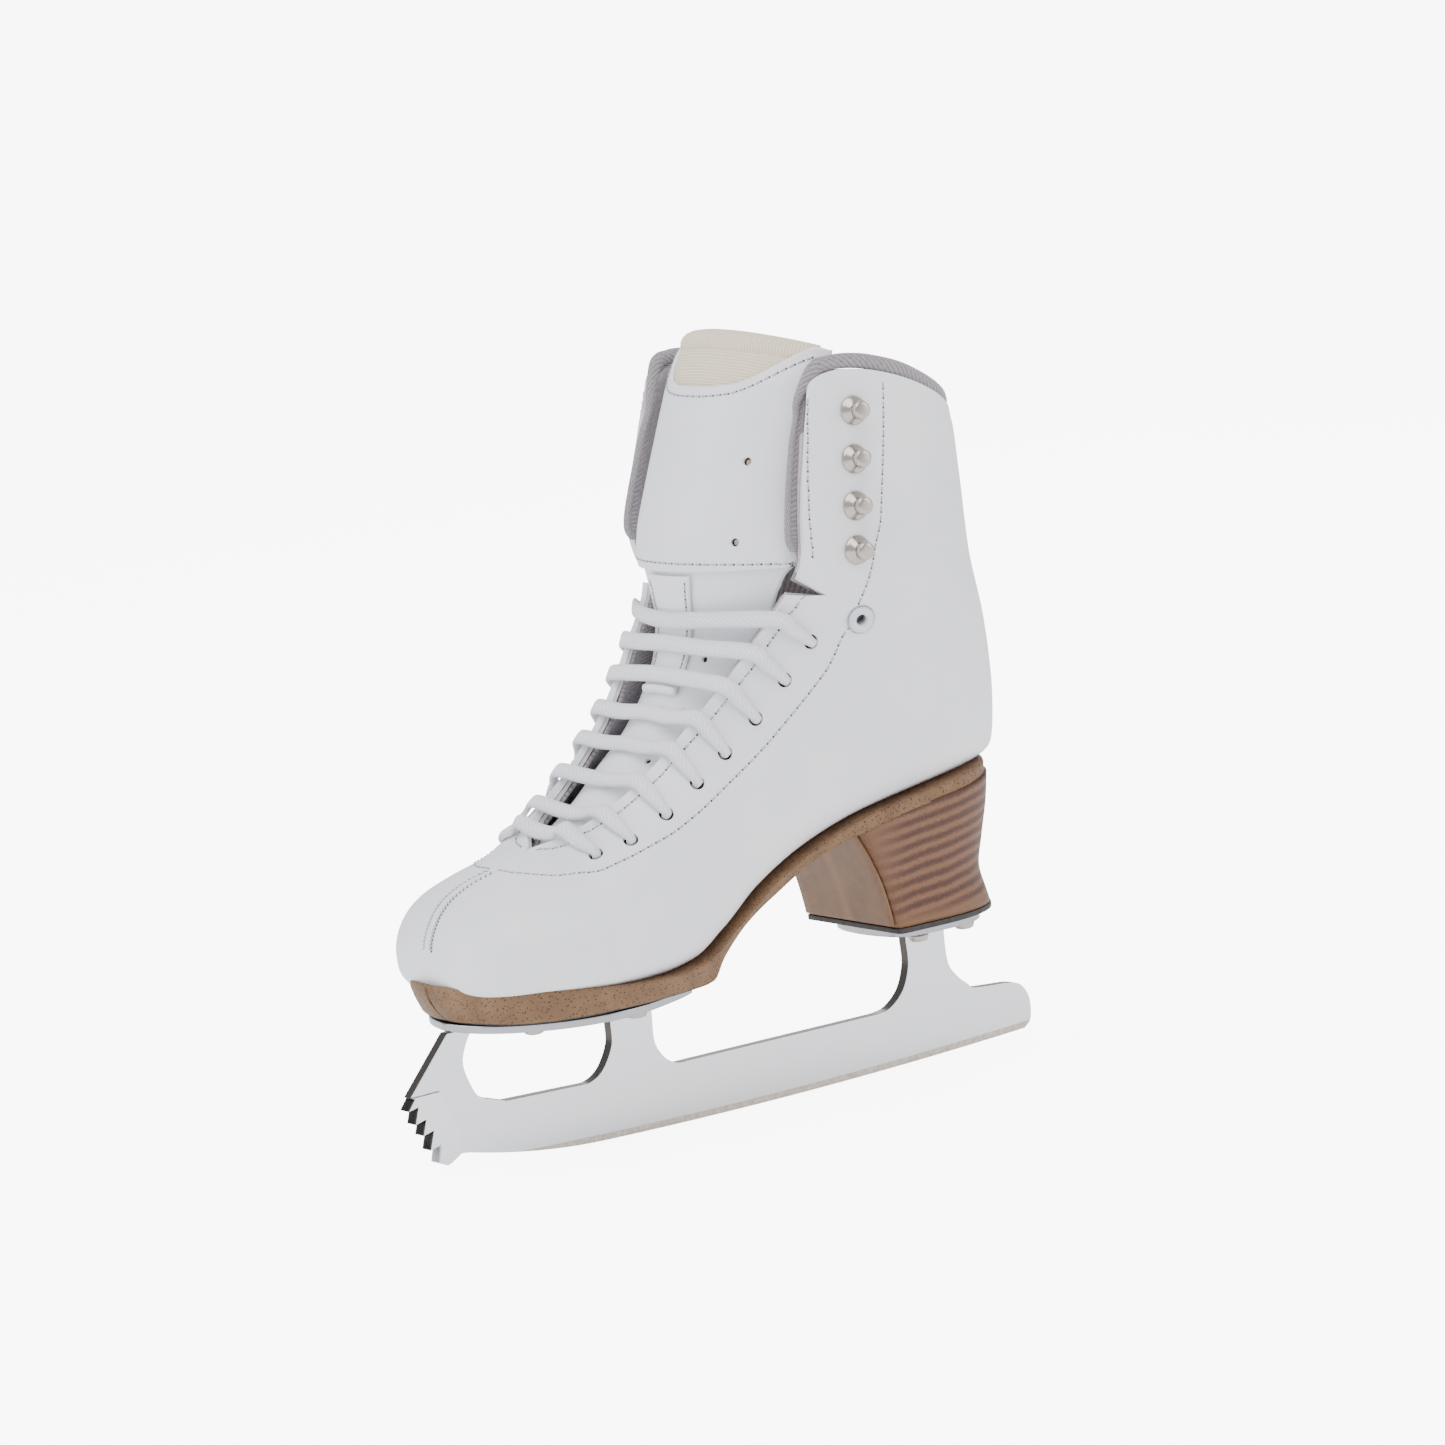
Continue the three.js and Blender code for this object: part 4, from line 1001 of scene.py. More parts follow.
# %% [markdown]
# The padded top of the tongue is foam wrapped in knitted jersey. It starts as a
# closed pad between a front and a back surface. Then a short cloth simulation
# with air pressure inside lets it swell and soften, as sewn padding does.

# %% Padded pieces from a front and a back surface
def pad_profile(f, s, corner=0.1):
    """Share of the full thickness at a place: full in the middle, nothing at the border."""
    def side(distance):
        k = min(1, max(0, distance / corner))
        return math.sqrt(1 - (1 - k) ** 2)
    return side((1 - abs(s)) / 2 * 1.6) * side(min(f, 1 - f) * 1.4)


def padded_between(name, v_from, v_to, outer, inner, counts, body):
    """A closed pad of the tongue between two depths, thickest in its middle: two laid
    grids, with rows closer together near the border, joined round that border."""
    middle, half = (outer + inner) / 2, (inner - outer) / 2
    rows, columns = ([-math.cos(math.pi * i / count) for i in range(count + 1)]
                     for count in counts)
    rows = [(row + 1) / 2 for row in rows]
    bm = bmesh.new()
    for outward in (-1, 1):
        sheet = laid_grid(name + "_sheet", rows, columns,
                          lambda f, s: tongue(lerp(v_from, v_to, f), s,
                                              middle - outward * half * pad_profile(f, s)), None)
        bm.from_mesh(sheet.data)
        if outward < 0:
            bmesh.ops.reverse_faces(bm, faces=bm.faces)
        bpy.data.objects.remove(sheet)
    bmesh.ops.remove_doubles(bm, verts=bm.verts, dist=mm(0.02))
    return finished(name, bm, body)


# %% A cloth that swells
def inflate(piece, pressure, cap, frames=16):
    """Swells a closed pad by cloth with pressure inside. No point moves further than cap."""
    start = [v.co.copy() for v in piece.data.vertices]
    cloth = piece.modifiers.new("cloth", "CLOTH")
    cloth.settings.effector_weights.gravity = 0
    cloth.settings.use_pressure = True
    cloth.settings.uniform_pressure_force = pressure
    cloth.settings.quality = 6
    cloth.settings.tension_stiffness = 30
    cloth.settings.compression_stiffness = 30
    cloth.settings.bending_stiffness = 2
    cloth.collision_settings.use_collision = False
    scene = bpy.context.scene
    for frame_number in range(1, frames + 1):
        scene.frame_set(frame_number)
    graph = bpy.context.evaluated_depsgraph_get()
    swollen = [v.co.copy() for v in piece.evaluated_get(graph).data.vertices]
    piece.modifiers.remove(cloth)
    scene.frame_set(1)
    for vertex, a, b in zip(piece.data.vertices, start, swollen):
        move = b - a
        vertex.co = a + move * min(1, cap / max(move.length, 1e-9))
    return piece


# %% The tongue's padded top
pad = padded_between("tongue_top_padding", 10.5, 14.98, -0.3, 8.1, (46, 64), "tongue_top")
inflate(pad, 2.0, mm(0.5))
finish_with(pad, CREAM, "cream_cloth", "tongue_upper_foam", "tongue_upper_lining")

roll_stations = []
for s in steps(-0.93, 0.93, 12):
    p = tongue(PAD_TOP + 0.1, s, 4.0) + Vector((0, 0, 2.6))
    roll_stations.append((p, 3.9, 4.05, (0, 0, 1)))
tongue_roll = swept("tongue_top_roll", roll_stations, sides=18, per_span=6, flatness=2.1,
                    body="tongue_top")
finish_with(tongue_roll, CREAM, "cream_cloth", "tongue_roll")
print("padded top:", len(pad.data.polygons), "faces")

# %% [markdown]
# Below the fold the tongue is leather in front and padding behind. Small vent
# holes are punched through it in two columns, and a strap that keeps the tongue
# under the lace is sewn down its middle, with its lower end rolled.

# %% Lower tongue
def lower_place(v, s):
    wave = 0.3 * noise.noise(Vector((s * 2, v * 0.6, 9)))
    return tongue(v, s, -wave * smooth((1 - abs(s)) / 0.2) * 0.6)


lower = laid_grid("tongue_lower_leather_sheet", steps(0, FOLD + 0.45, 80), steps(-1, 1, 50),
                  lower_place)
LOWER_VENTS = [on_tongue(s, v) for s in (0.42, -0.42) for v in (4.3, 5.6, 6.9)]
walled(lower, 1.4, join_bm([turned_bm(punch(1.0, -3, 2), *vent, 14) for vent in LOWER_VENTS]))
finish_with(lower, LEATHER, "white_leather", "tongue_lower_leather")
cups("lower_tongue_cups", LOWER_VENTS, 1.03, 1.35)
lower_pad = padded_between("tongue_lower_padding", 1, FOLD + 0.4, 1.7, 8.2, (50, 40), "boot")
finish_with(lower_pad, CREAM, "cream_cloth", "tongue_lower_foam", "tongue_lower_lining")

# %% Lace keeper
KEEPER_HALF = 0.25
keeper = laid_grid("lace_keeper_strap", steps(6.05, FOLD - 0.15, 40),
                   steps(-KEEPER_HALF, KEEPER_HALF, 14),
                   lambda v, s: tongue(v, s, -1.55 - 0.25 * (1 - (s / KEEPER_HALF) ** 2)))
thicken(keeper, mm(1.25), 0.0005)
finish_with(keeper, LEATHER, "white_leather", "lace_keeper")
keeper_route = [(tongue(6.0, s, -1.5), 1.5, 1.25, (0, 0, 0))
                for s in steps(-KEEPER_HALF, KEEPER_HALF, 4)]
keeper_roll = swept("lace_keeper_roll", keeper_route, sides=14, per_span=4, flatness=2.2)
finish_with(keeper_roll, LEATHER, "white_leather")
for s, word in ((0.215, "a"), (-0.215, "b")):
    row = walk([(s, v, -1.7) for v in steps(6.3, 9.7, 20)], on_tongue, 2.6)
    stitched("keeper_stitching_" + word, row)
print("tongue made")


# %% [markdown]
# ## Lace
# The lace is one woven cotton tape, 5.5 mm wide where it lies flat. It bunches in
# each hole, spreads flat over the facing, crosses as a straight bar and goes back
# in, with the legs hidden behind the facing. Its route follows the CAD's.

# %% The lace's route
BUNCHED, BAR, LEG = (1.5, 1.2), (2.75, 0.85), (0.75, 1.9)
BEHIND = 7.2
KEEPER_OVER, CROSSING_OVER = 1.5, 2.4


def row_facing(p):
    """The place on the shin line that faces a point."""
    def away(v):
        n = shin_normal(v)
        return abs((shin_point(v) - p).dot(Vector((0, -n.z, n.y))))
    return min(steps(1, FOLD, 360), key=away)


def uphill(u):
    return (leather(u + 0.2, 0) - leather(u - 0.2, 0)).normalized()


def bar_stations(i):
    u, distance = LACE_ROWS[i]
    hole, hole_n = HOLES[i]
    edge, edge_n = place_on(u, 0.6)
    v = row_facing(Vector((0, edge.y, edge.z)))
    first = i == 0
    over = KEEPER_OVER if v > 5.4 else (CROSSING_OVER if first else 0)
    middle = tongue(v, 0, -over - GAP - 1.5)
    middle.x = 0
    rim_place = edge + edge_n * (4 if first else 2.5)
    across = Vector((0, shin_normal(v).z, -shin_normal(v).y))
    inner = rim_place.lerp(middle, 0.5) + (middle - Vector((0, rim_place.y, rim_place.z))) * 0.25
    slant = random.uniform(-0.8, 0.8)
    half = [
        (hole + hole_n * 1.1, *BUNCHED, uphill(u)),
        (hole.lerp(edge, 0.3) + hole_n * 1.9, 2.2, 0.95, uphill(u)),
        (hole.lerp(edge, 0.62) + hole_n * 2.2, 2.65, 0.88, uphill(u)),
        (rim_place, *BAR, uphill(u).lerp(across, 0.4)),
        (inner + across * slant, *BAR, across),
    ]
    other = [(mirrored(p), a, b, mirrored(d)) for p, a, b, d in half[::-1]]
    return [*half, (middle, *BAR, across), *other]


def behind_at(u, distance, side, further=0, section=LEG):
    p, n = place_on(u, distance + further)
    return mirrored(p - n * BEHIND, side), *section, mirrored(n, side)


def through(i, side):
    u, _ = LACE_ROWS[i]
    p, n = HOLES[i]
    wide = mirrored(uphill(u), side)
    return [(mirrored(p - n * BEHIND * f, side), *BUNCHED, wide) for f in (0.75, 0.2)]


# %% The whole lace
lace_stations = [behind_at(*LACE_ROWS[0], 1, further) for further in (13.5, 9.5, 5.5)]
for i, (u, distance) in enumerate(LACE_ROWS):
    side = 1 if i % 2 == 0 else -1
    lace_stations += [behind_at(u, distance, side, 0, BUNCHED), *through(i, side)]
    bar_run = bar_stations(i)
    lace_stations += bar_run if side == 1 else bar_run[::-1]
    lace_stations += [*through(i, -side)[::-1], behind_at(u, distance, -side, 0, BUNCHED)]
    if i < len(LACE_ROWS) - 1:
        u_next, distance_next = LACE_ROWS[i + 1]
        lace_stations += [behind_at(lerp(u, u_next, f), lerp(distance, distance_next, f), -side)
                          for f in (0.3, 0.7)]
last_side = 1 if len(LACE_ROWS) % 2 == 0 else -1
lace_stations += [behind_at(*LACE_ROWS[-1], last_side, further) for further in (5.5, 9.5, 13.5)]
lace = swept("lace_tape", lace_stations, sides=16, per_span=5, flatness=3.2)
finish_with(lace, LACE, "lace_cotton", "lace")
print("lace length", round(lace["length_mm"]), "mm")


# %% Lace tips
# Acetate film is wrapped and shrunk on the lace's ends: clear, glossy and a little cloudy.
TIP = mottled("moulded_acetate_tip", "#E8E8EC", 0.25, [(0.3, "#DEDEE4"), (0.7, "#F0F0F3")], 0.004)
for name, row, side, node in (("lace_tip_lower", LACE_ROWS[0], 1, "lace_tip_1"),
                              ("lace_tip_upper", LACE_ROWS[-1], last_side, "lace_tip_2")):
    stations = [behind_at(*row, side, further, (1.3, 1.3)) for further in (14.3, 17.5, 20.5, 23.5)]
    finish_with(swept(name, stations, sides=12, flatness=2), TIP, "lace_tip_plastic", node)


# %% [markdown]
# ## Hooks and eyelets
# Each lacing hook is a bright nickel stud: a flared base, a short neck and a flat
# round head. The eyelet over the notch is an enamelled white ring, and a thin
# lilac-grey ring round it is painted shade on the leather.

# %% Metals
def polished(name, colour, roughness, grain):
    """Metal with fine brush marks and soft patches of haze."""
    material, shader, node = new_material(name, colour, roughness, Metallic=1.0)
    place = node("TexCoord", out="Object")
    drawn = node("Mapping", [(place, "Vector")], Scale=(1, 1, 30))
    marks = node("TexNoise", [(drawn, "Vector")], Scale=1 / grain, Detail=4)
    haze = node("TexNoise", [(place, "Vector")], Scale=1 / 0.011, Detail=3)
    wire(shader,
         Roughness=node("MapRange", [(haze, "Value")], To_Min=roughness * 0.75,
                        To_Max=roughness * 1.5),
         Normal=node("Bump", [(marks, "Height")], Distance=0.00002, Strength=0.35))
    return material, shader, node


# Nickel plate is warm and bright. Rolled spring steel is greyer and duller.
NICKEL = polished("bright_nickel", "#B9B1A8", 0.2, 0.0009)[0]
STEEL = polished("spring_steel_strip", "#9A9CA2", 0.35, 0.0006)[0]
# Enamel is baked glass paint: glossy, a little uneven, and cooler than the leather.
ENAMEL = mottled("white_enamel_on_brass", "#DFE1E8", 0.22, [(0.3, "#D3D6DF"), (0.7, "#E4E6EC")],
                 0.003, (0.00005, 0.3))


# %% Hooks and eyelets
HOOK = [(0, 0.1), (4.7, 0.1), (4.75, 0.35), (4.6, 0.75), (4.0, 1.25), (3.2, 1.9), (2.5, 2.7),
        (2.35, 3.1), (2.75, 3.3), (2.9, 3.5), (2.9, 5.4), (2.75, 5.85), (2.4, 6.1), (1.6, 6.2),
        (0, 6.2)]
RIM = [(1.75, -2.6), (2.35, -2.6), (2.35, 0.1), (4.2, 0.15), (4.32, 0.45), (4.1, 0.95),
       (3.4, 1.35), (2.6, 1.4), (1.95, 1.05), (1.75, 0.4), (1.75, -2.6)]
# A thin lilac-grey ring round each eyelet is painted shade where its rim meets the leather.
EYELET_SHADE_RING = [(4.1, 0.03), (4.5, 0.12), (4.85, 0.05)]


def both_ways(place, side):
    return [mirrored(v, side) for v in place]


for i, hook in enumerate(HOOKS):
    for side, word in SIDES:
        stud = turned_bm(HOOK, *both_ways(hook, side), 36)
        finished(f"lacing_hook_{word}_{i + 1}", stud, "boot", NICKEL, "nickel",
                 [f"hook_{word}_{i + 1}"])
for side, word in SIDES:
    at = both_ways(EYELET, side)
    finished(f"enamelled_eyelet_{word}", turned_bm(RIM, *at, 36), "boot", ENAMEL, "white_enamel",
             [f"eyelet_{word}"])
    # The ring of painted shade round the eyelet, in the thread's lilac grey.
    finished(f"eyelet_crease_{word}", turned_bm(EYELET_SHADE_RING, *at, 36), "boot", THREAD, "white_leather")
print("hooks", 2 * len(HOOKS), "lace holes", 2 * len(HOLES))
cups("lace_hole_cups", [both_ways(hole, side) for side, _ in SIDES for hole in HOLES], 2.45, 2.4)


# %% [markdown]
# ## Sole and heel
# The outsole is one tan layer of rubbery leather board, flecked with dark grains,
# and its colour turns nearly black below a wavering line about 0.3 mm over the
# plates. It rises over the arch and carries the heel.

# %% Outsole
SOLE_ROWS = [
    (-109.6, 1, 12.9, 0.6), (-109, 6, 12.8, 0.3), (-106, 15, 12.5, 0), (-102, 23, 12.1, 0),
    (-97, 29.5, 11.6, 0),
    (-90, 35.5, 10.8, 0), (-80, 40, 9.8, 0), (-68, 42.3, 8.6, 0), (-55, 42.3, 7.4, 0),
    (-42, 40.5, 6.8, 0), (-30, 37.5, 7.6, 0), (-24, 36, 9.2, 0.6), (-18, 34, 12, 6.5),
    (-6, 31.5, 19.3, 15.5), (8, 30, 27.5, 22.8), (25, 29, 34.8, 30.5), (45, 29, 41, 36.3),
    (65, 29.5, 44.6, 40.5), (80, 28.5, 46.9, 42), (90, 25.5, 48, 43.2), (98, 20, 48.6, 44.2),
    (103.5, 12, 49.2, 44.8), (107.3, 3, 49.4, 45.3),
]
sole_curve = [monotone([row[k] for row in SOLE_ROWS]) for k in range(4)]


def sole_at(u):
    return [curve(u) for curve in sole_curve]


# %% Sole finish
# Height and waver of the nearly black band along the sole's bottom.
DARK_BOTTOM_HEIGHT, DARK_BOTTOM_WAVER = 0.0003, 0.0005


def sole_material():
    material, shader, node = new_material("flecked_tan_sole", "#A97F58", 0.62)
    place = node("TexCoord", out="Object")
    height = node("SeparateXYZ", [(place.node.outputs["UV"], "Vector")], out="Y")
    cloud = node("TexNoise", [(place, "Vector")], Scale=1 / 0.008, Detail=5)
    tan = node("ValToRGB", [(cloud, "Fac")],
               stops=[(0.25, "#694B30"), (0.5, "#755638"), (0.75, "#806143")])
    flecks = node("TexVoronoi", [(place, "Vector")], Scale=1 / 0.0011)
    speck = node("ValToRGB", [(flecks, "Fac")], stops=[(0.2, "#FFFFFF"), (0.31, "#000000")])
    flecked = node("Mix", [(speck, "Factor"), (tan, "A")], data_type="RGBA", B=srgb("#3E281A"))
    wave = node("TexNoise", [(place, "Vector")], Scale=1 / 0.006)
    # Below a wavering line about 0.3 mm over the plates, the colour turns nearly black.
    level = node("Math", [(wave, 0), (DARK_BOTTOM_WAVER, 1), (DARK_BOTTOM_HEIGHT, 2)],
                 operation="MULTIPLY_ADD")
    black = node("Math", [(height, 0), (level, 1)], operation="LESS_THAN")
    wire(shader,
         Base_Color=node("Mix", [(black, "Factor"), (flecked, "A")], data_type="RGBA",
                         B=srgb("#221C18")),
         Normal=node("Bump", [(flecks, "Height")], Distance=0.0002, Strength=0.25))
    return material


SOLE = sole_material()
# %% The sole's body
TOE_LEAN, HEEL_FROM = 6, 36


def sole_section(u):
    """Half a section from under the middle round to under the boot, as points. At the
    toe the sections lean back, so that the sole's front slopes in under the boot."""
    y, half, top, bottom = sole_at(u)
    lean = TOE_LEAN * (1 - smooth(u / 6))
    behind = smooth((y - HEEL_FROM) / 8)
    under = lerp(max(half - 2.5, 0.4 * half), half - 0.2, behind)
    lip = min(3.5, half * 0.4)
    points = [(under * share, bottom) for share in (0, 0.5, 0.85)]
    points += [(under * 0.99, bottom + 0.1 * (1 - behind)),
               (lerp(under, half, 0.12), bottom + 0.55 * (1 - behind))]
    points += [(lerp(under, half, f), lerp(bottom, top, f)) for f in (0.3, 0.5, 0.7, 0.88)]
    points += [(half - 0.05, top - 0.3), (half - 0.35, top), (half - lip, top + 0.2),
               (0, top - 0.2)]
    return [(x, y + lean * ((top - min(z, top)) / (top - bottom)) ** 2, z) for x, z in points]


def sole_body():
    bm = bmesh.new()
    uv = bm.loops.layers.uv.new("UVMap")
    rings = []
    for u in steps(0, len(SOLE_ROWS) - 1, 150):
        half = sole_section(u)
        full = half + [(-x, y, z) for x, y, z in half[-2:0:-1]]
        rings.append([bm.verts.new(at_boot(p)) for p in full])
    skin(bm, rings)
    for face in bm.faces:
        for loop in face.loops:
            loop[uv].uv = (loop.vert.co.y, loop.vert.co.z - mm(SOLE_Z))
    return bm


sole = finished("tan_outsole", sole_body(), "boot", SOLE, "sole_leather", ["outsole"])
print("outsole:", len(sole.data.polygons), "faces")

# %% [markdown]
# The heel is built from boards of leather. Its sides and back show the edges of
# the boards as darker bands that run with the slope of the sole, and its breast is
# covered with one plain piece.

# %% Heel
HEEL_ROWS = [(2.0, 26.5, 54, 103.4), (6, 26, 53.3, 102.4), (14.5, 25.5, 51.4, 100.4),
             (25, 26.8, 47.6, 102.6), (37, 28.8, 41.5, 105.2), (50, 30, 36, 106.8)]
heel_curve = [monotone([row[k] for row in HEEL_ROWS]) for k in range(4)]
HEEL_MIDDLE = 70


def heel_row(z):
    return row_at(heel_curve[0], z, len(HEEL_ROWS) - 1)


def heel_loop(z):
    """The heel's outline at a height, all the way round."""
    u = heel_row(z)
    half, breast, back = (curve(u) for curve in heel_curve[1:])
    side = [(0, breast), (0.5 * half, breast), (0.93 * half, breast),
            (0.985 * half, breast + 0.8), (half, breast + 3)]
    side += [(half, lerp(breast + 5, HEEL_MIDDLE - 1, f)) for f in (0, 0.5, 1)]
    for degrees in steps(0, 90, 18):
        angle = math.radians(degrees)
        side.append((half * max(0, math.cos(angle)) ** 0.87,
                     HEEL_MIDDLE + (back - HEEL_MIDDLE) * math.sin(angle) ** 0.87))
    return side + [(-x, y) for x, y in side[-2:0:-1]]


def sole_bottom(y):
    return sole_curve[3](row_at(sole_curve[0], y, len(SOLE_ROWS) - 1))


# %% Leather boards
BOARD_PITCH, BOARD_SLOPE, BOARD_WAVER = 0.0040, -0.12, 0.0016
GRAIN_SHARE = 4.2


def heel_material():
    material, shader, node = new_material("stacked_leather_boards", "#9A6B47", 0.55)
    place = node("TexCoord", out="Object")
    split = node("SeparateXYZ", [(place, "Vector")]).node
    back, height = split.outputs["Y"], split.outputs["Z"]
    slope = node("Math", [(back, 0), (BOARD_SLOPE, 1), (height, 2)], operation="MULTIPLY_ADD")
    waver = node("TexNoise", [(place, "Vector")], Scale=1 / 0.014, Detail=2)
    level = node("Math", [(waver, 0), (BOARD_WAVER, 1), (slope, 2)], operation="MULTIPLY_ADD")
    turn = node("Math", [(level, 0), (2 * math.pi / BOARD_PITCH, 1)], operation="MULTIPLY")
    band = node("Math", [(turn, 0)], operation="SINE")
    grain = node("TexNoise", [(place, "Vector")], Scale=1 / 0.0007, Detail=4, Roughness=0.8)
    mixed = node("Math", [(grain, 0), (GRAIN_SHARE, 1), (band, 2)], operation="MULTIPLY_ADD")
    share = node("MapRange", [(mixed, "Value")], From_Min=0.9, From_Max=3.4)
    boards = node("ValToRGB", [(share, "Fac")],
                  stops=[(0.1, "#452617"), (0.45, "#5D3822"), (0.8, "#755138")])
    behind = node("MapRange", [(back, "Value")], From_Min=0.046, From_Max=0.060)
    plain = node("Mix", [(behind, "Factor"), (boards, "B")], data_type="RGBA", A=srgb("#6F4B32"))
    above = node("MapRange", [(height, "Value")], From_Min=mm(SOLE_Z) + 0.003,
                 From_Max=mm(SOLE_Z) + 0.007)
    wire(shader,
         Base_Color=node("Mix", [(above, "Factor"), (plain, "B")], data_type="RGBA",
                         A=srgb("#755338")),
         Normal=node("Bump", [(share, "Height")], Distance=0.0002, Strength=0.35))
    return material


HEEL = heel_material()
# %% The heel's body
HEEL_BOTTOM, SUNK = 2.0, 0.6


def heel_body():
    """Rings from the lift up to the slope of the sole, a little way into it."""
    bm = bmesh.new()
    tops = []
    for k in range(len(heel_loop(HEEL_BOTTOM))):
        z = 30
        for _ in range(8):
            z = sole_bottom(heel_loop(z)[k][1]) + SUNK
        tops.append(z)
    rings = []
    for f in steps(0, 1, 30):
        heights = [lerp(HEEL_BOTTOM, top, f) for top in tops]
        rings.append([bm.verts.new(at_boot((*heel_loop(z)[k], z))) for k, z in enumerate(heights)])
    return skin(bm, rings)


heel = finished("stacked_heel", heel_body(), "boot", HEEL, "heel_stack", ["heel_block"])
print("heel:", len(heel.data.polygons), "faces")


# %% The breast's cover
def breast_material():
    """Skived cover leather, with a seam down its middle."""
    material, shader, node = new_material("heel_breast_leather", "#A77C58", 0.5)
    place = node("TexCoord", out="Object")
    cloud = node("TexNoise", [(place, "Vector")], Scale=1 / 0.01, Detail=4)
    tan = node("ValToRGB", [(cloud, "Fac")], stops=[(0.25, "#6E4D34"), (0.75, "#806043")])
    away = node("Math", [(node("SeparateXYZ", [(place, "Vector")], out="X"), 0)],
                operation="ABSOLUTE")
    seam = node("ValToRGB", [(away, "Fac")], stops=[(0.0001, "#FFFFFF"), (0.0004, "#000000")])
    grain = node("TexNoise", [(place, "Vector")], Scale=1 / 0.0009, Detail=3)
    wire(shader,
         Base_Color=node("Mix", [(seam, "Factor"), (tan, "A")], data_type="RGBA",
                         B=srgb("#8B6647")),
         Normal=node("Bump", [(grain, "Height")], Distance=0.0001, Strength=0.3))
    return material


BREAST_HALF, BREAST_OUT = 24.6, 1.3


def breast_place(f, s):
    z = lerp(2.5, 34.5, f)
    return Vector((BREAST_HALF * s, heel_curve[2](heel_row(z)) - BREAST_OUT, z))


breast = laid_grid("heel_breast_sheet", steps(0, 1, 24), steps(-1, 1, 12), breast_place)
thicken(breast, mm(1.0), 0.0003)
finish_with(breast, breast_material(), "sole_leather", "heel_breast_cover")

# %% Heel lift
# Moulded rubber: black, matt and a little dusty.
RUBBER = mottled("black_heel_rubber", "#2A2624", 0.6, [(0.3, "#221F1D"), (0.7, "#3B3633")], 0.003,
                 (0.0001, 0.4), Detail=5)


def flat_body(outline, low, high, to_place):
    """A flat piece: its outline and two heights, placed by a function."""
    bm = bmesh.new()
    return skin(bm, [[bm.verts.new(to_place(p, h)) for p in outline] for h in (low, high)])


def soften(piece, width, segments=3):
    """Breaks the edges of a hard piece, and keeps its large faces flat to the light."""
    bevelled(piece, mm(width), segments, 35)
    for face in piece.data.polygons:
        face.use_smooth = True
    piece.modifiers.new("flat_faces", "WEIGHTED_NORMAL").keep_sharp = False


lift_outline = [(x * 1.016, lerp(78.7, y, 1.01)) for x, y in heel_loop(HEEL_BOTTOM)]
lift = flat_body(lift_outline, 0, 1.75, lambda p, h: at_boot((*p, h)))
soften(finished("black_heel_lift", lift, "boot", RUBBER, "black_rubber", ["heel_lift"]), 0.3)


# %% [markdown]
# ## Blade
# The blade is chromed steel. The saw-toothed pick is at the toe, the edge is a long
# shallow arc, and two stanchions rise to the plates. A strip along the edge is
# ground bare, so it is duller than the chrome; its warm beige tint is a painted reflection.

# %% Chrome
ROCKER_RADIUS = 2134
GROUND_BAND, BAND_WAVER = 0.0020, 0.0006
CHROME = polished("chromed_steel", "#E9EAED", 0.13, 0.0012)[0]


def blade_material():
    material, shader, node = polished("chromed_runner", "#E6E7EA", 0.2, 0.0014)
    place = node("TexCoord", out="Object")
    split = node("SeparateXYZ", [(place, "Vector")]).node
    along, height = split.outputs["Y"], split.outputs["Z"]
    square = node("Math", [(along, 0), (along, 1)], operation="MULTIPLY")
    over_edge = node("Math", [(square, 0), (-1 / (2 * mm(ROCKER_RADIUS)), 1), (height, 2)],
                     operation="MULTIPLY_ADD")
    marks = node("TexNoise", [(place, "Vector")], Scale=1 / 0.0012, Detail=5)
    edge_line = node("Math", [(marks, 0), (BAND_WAVER, 1), (GROUND_BAND, 2)],
                     operation="MULTIPLY_ADD")
    ground = node("Math", [(over_edge, 0), (edge_line, 1)], operation="LESS_THAN")
    # The ground strip is bare steel; its warm beige colour is a painted reflection.
    bare_steel_and_painted_reflection = node("ValToRGB", [(marks, "Fac")], stops=[(0.3, "#B9AFA4"), (0.7, "#D8CFC4")])
    wire(shader,
         Base_Color=node("Mix", [(ground, "Factor"), (bare_steel_and_painted_reflection, "B")], data_type="RGBA",
                         A=srgb("#E6E7EA")),
         Roughness=node("MapRange", [(ground, "Value")], To_Min=0.2, To_Max=0.5))
    return material


# %% Blade outline
BLADE_TOP = BLADE_HEIGHT - GAP
EDGE_FROM = 0.012


def rocker(y):
    return y * y / (2 * ROCKER_RADIUS) + 0.0019 * max(0, -50 - y) ** 2


TEETH = [(-120.7, 28.8), (-119.4, 28.4), (-122.2, 24.8), (-118.5, 25.6), (-120.2, 20.2),
         (-116.2, 21.2), (-117.8, 16.2), (-113.9, 17.2), (-115.8, 11.1), (-111.6, 12.3),
         (-113.1, 6.5), (-110, 5.1), (-108.4, 5.7), (-104.8, 7.8)]
TAIL = [(117.5, rocker(117.5)), (120, 5.4), (120.8, 9), (120.4, 13.9), (117.6, 18), (113, 19.6),
        (104, 20.3), (98, 21), (96.1, 22.6), (93.1, 25.1), (89.5, 29.8), (88.6, 35.5), (88.6, 41)]
HEEL_ARCH = [(72.8, 41), (72.8, 33.5), (69.7, 25.7), (63.8, 20.8), (58, 19.7)]
MIDDLE_ARCH = [(-16, 19.7), (-21, 19.9), (-25.3, 22.6), (-28.4, 28.2), (-28.4, 36)]
WINDOW = [(-44.5, 40), (-44.5, 37), (-44.9, 30.5), (-49, 23.5), (-54.1, 20.4), (-59.4, 20.2)]
WINDOW_TOE = [(-86, 21), (-90.1, 22.3), (-95, 24), (-97.5, 27), (-100.1, 35.1), (-98.6, 41),
              (-95.3, BLADE_TOP)]


def rounded(points):
    return [tuple(p) for p in spline(points, 5)]


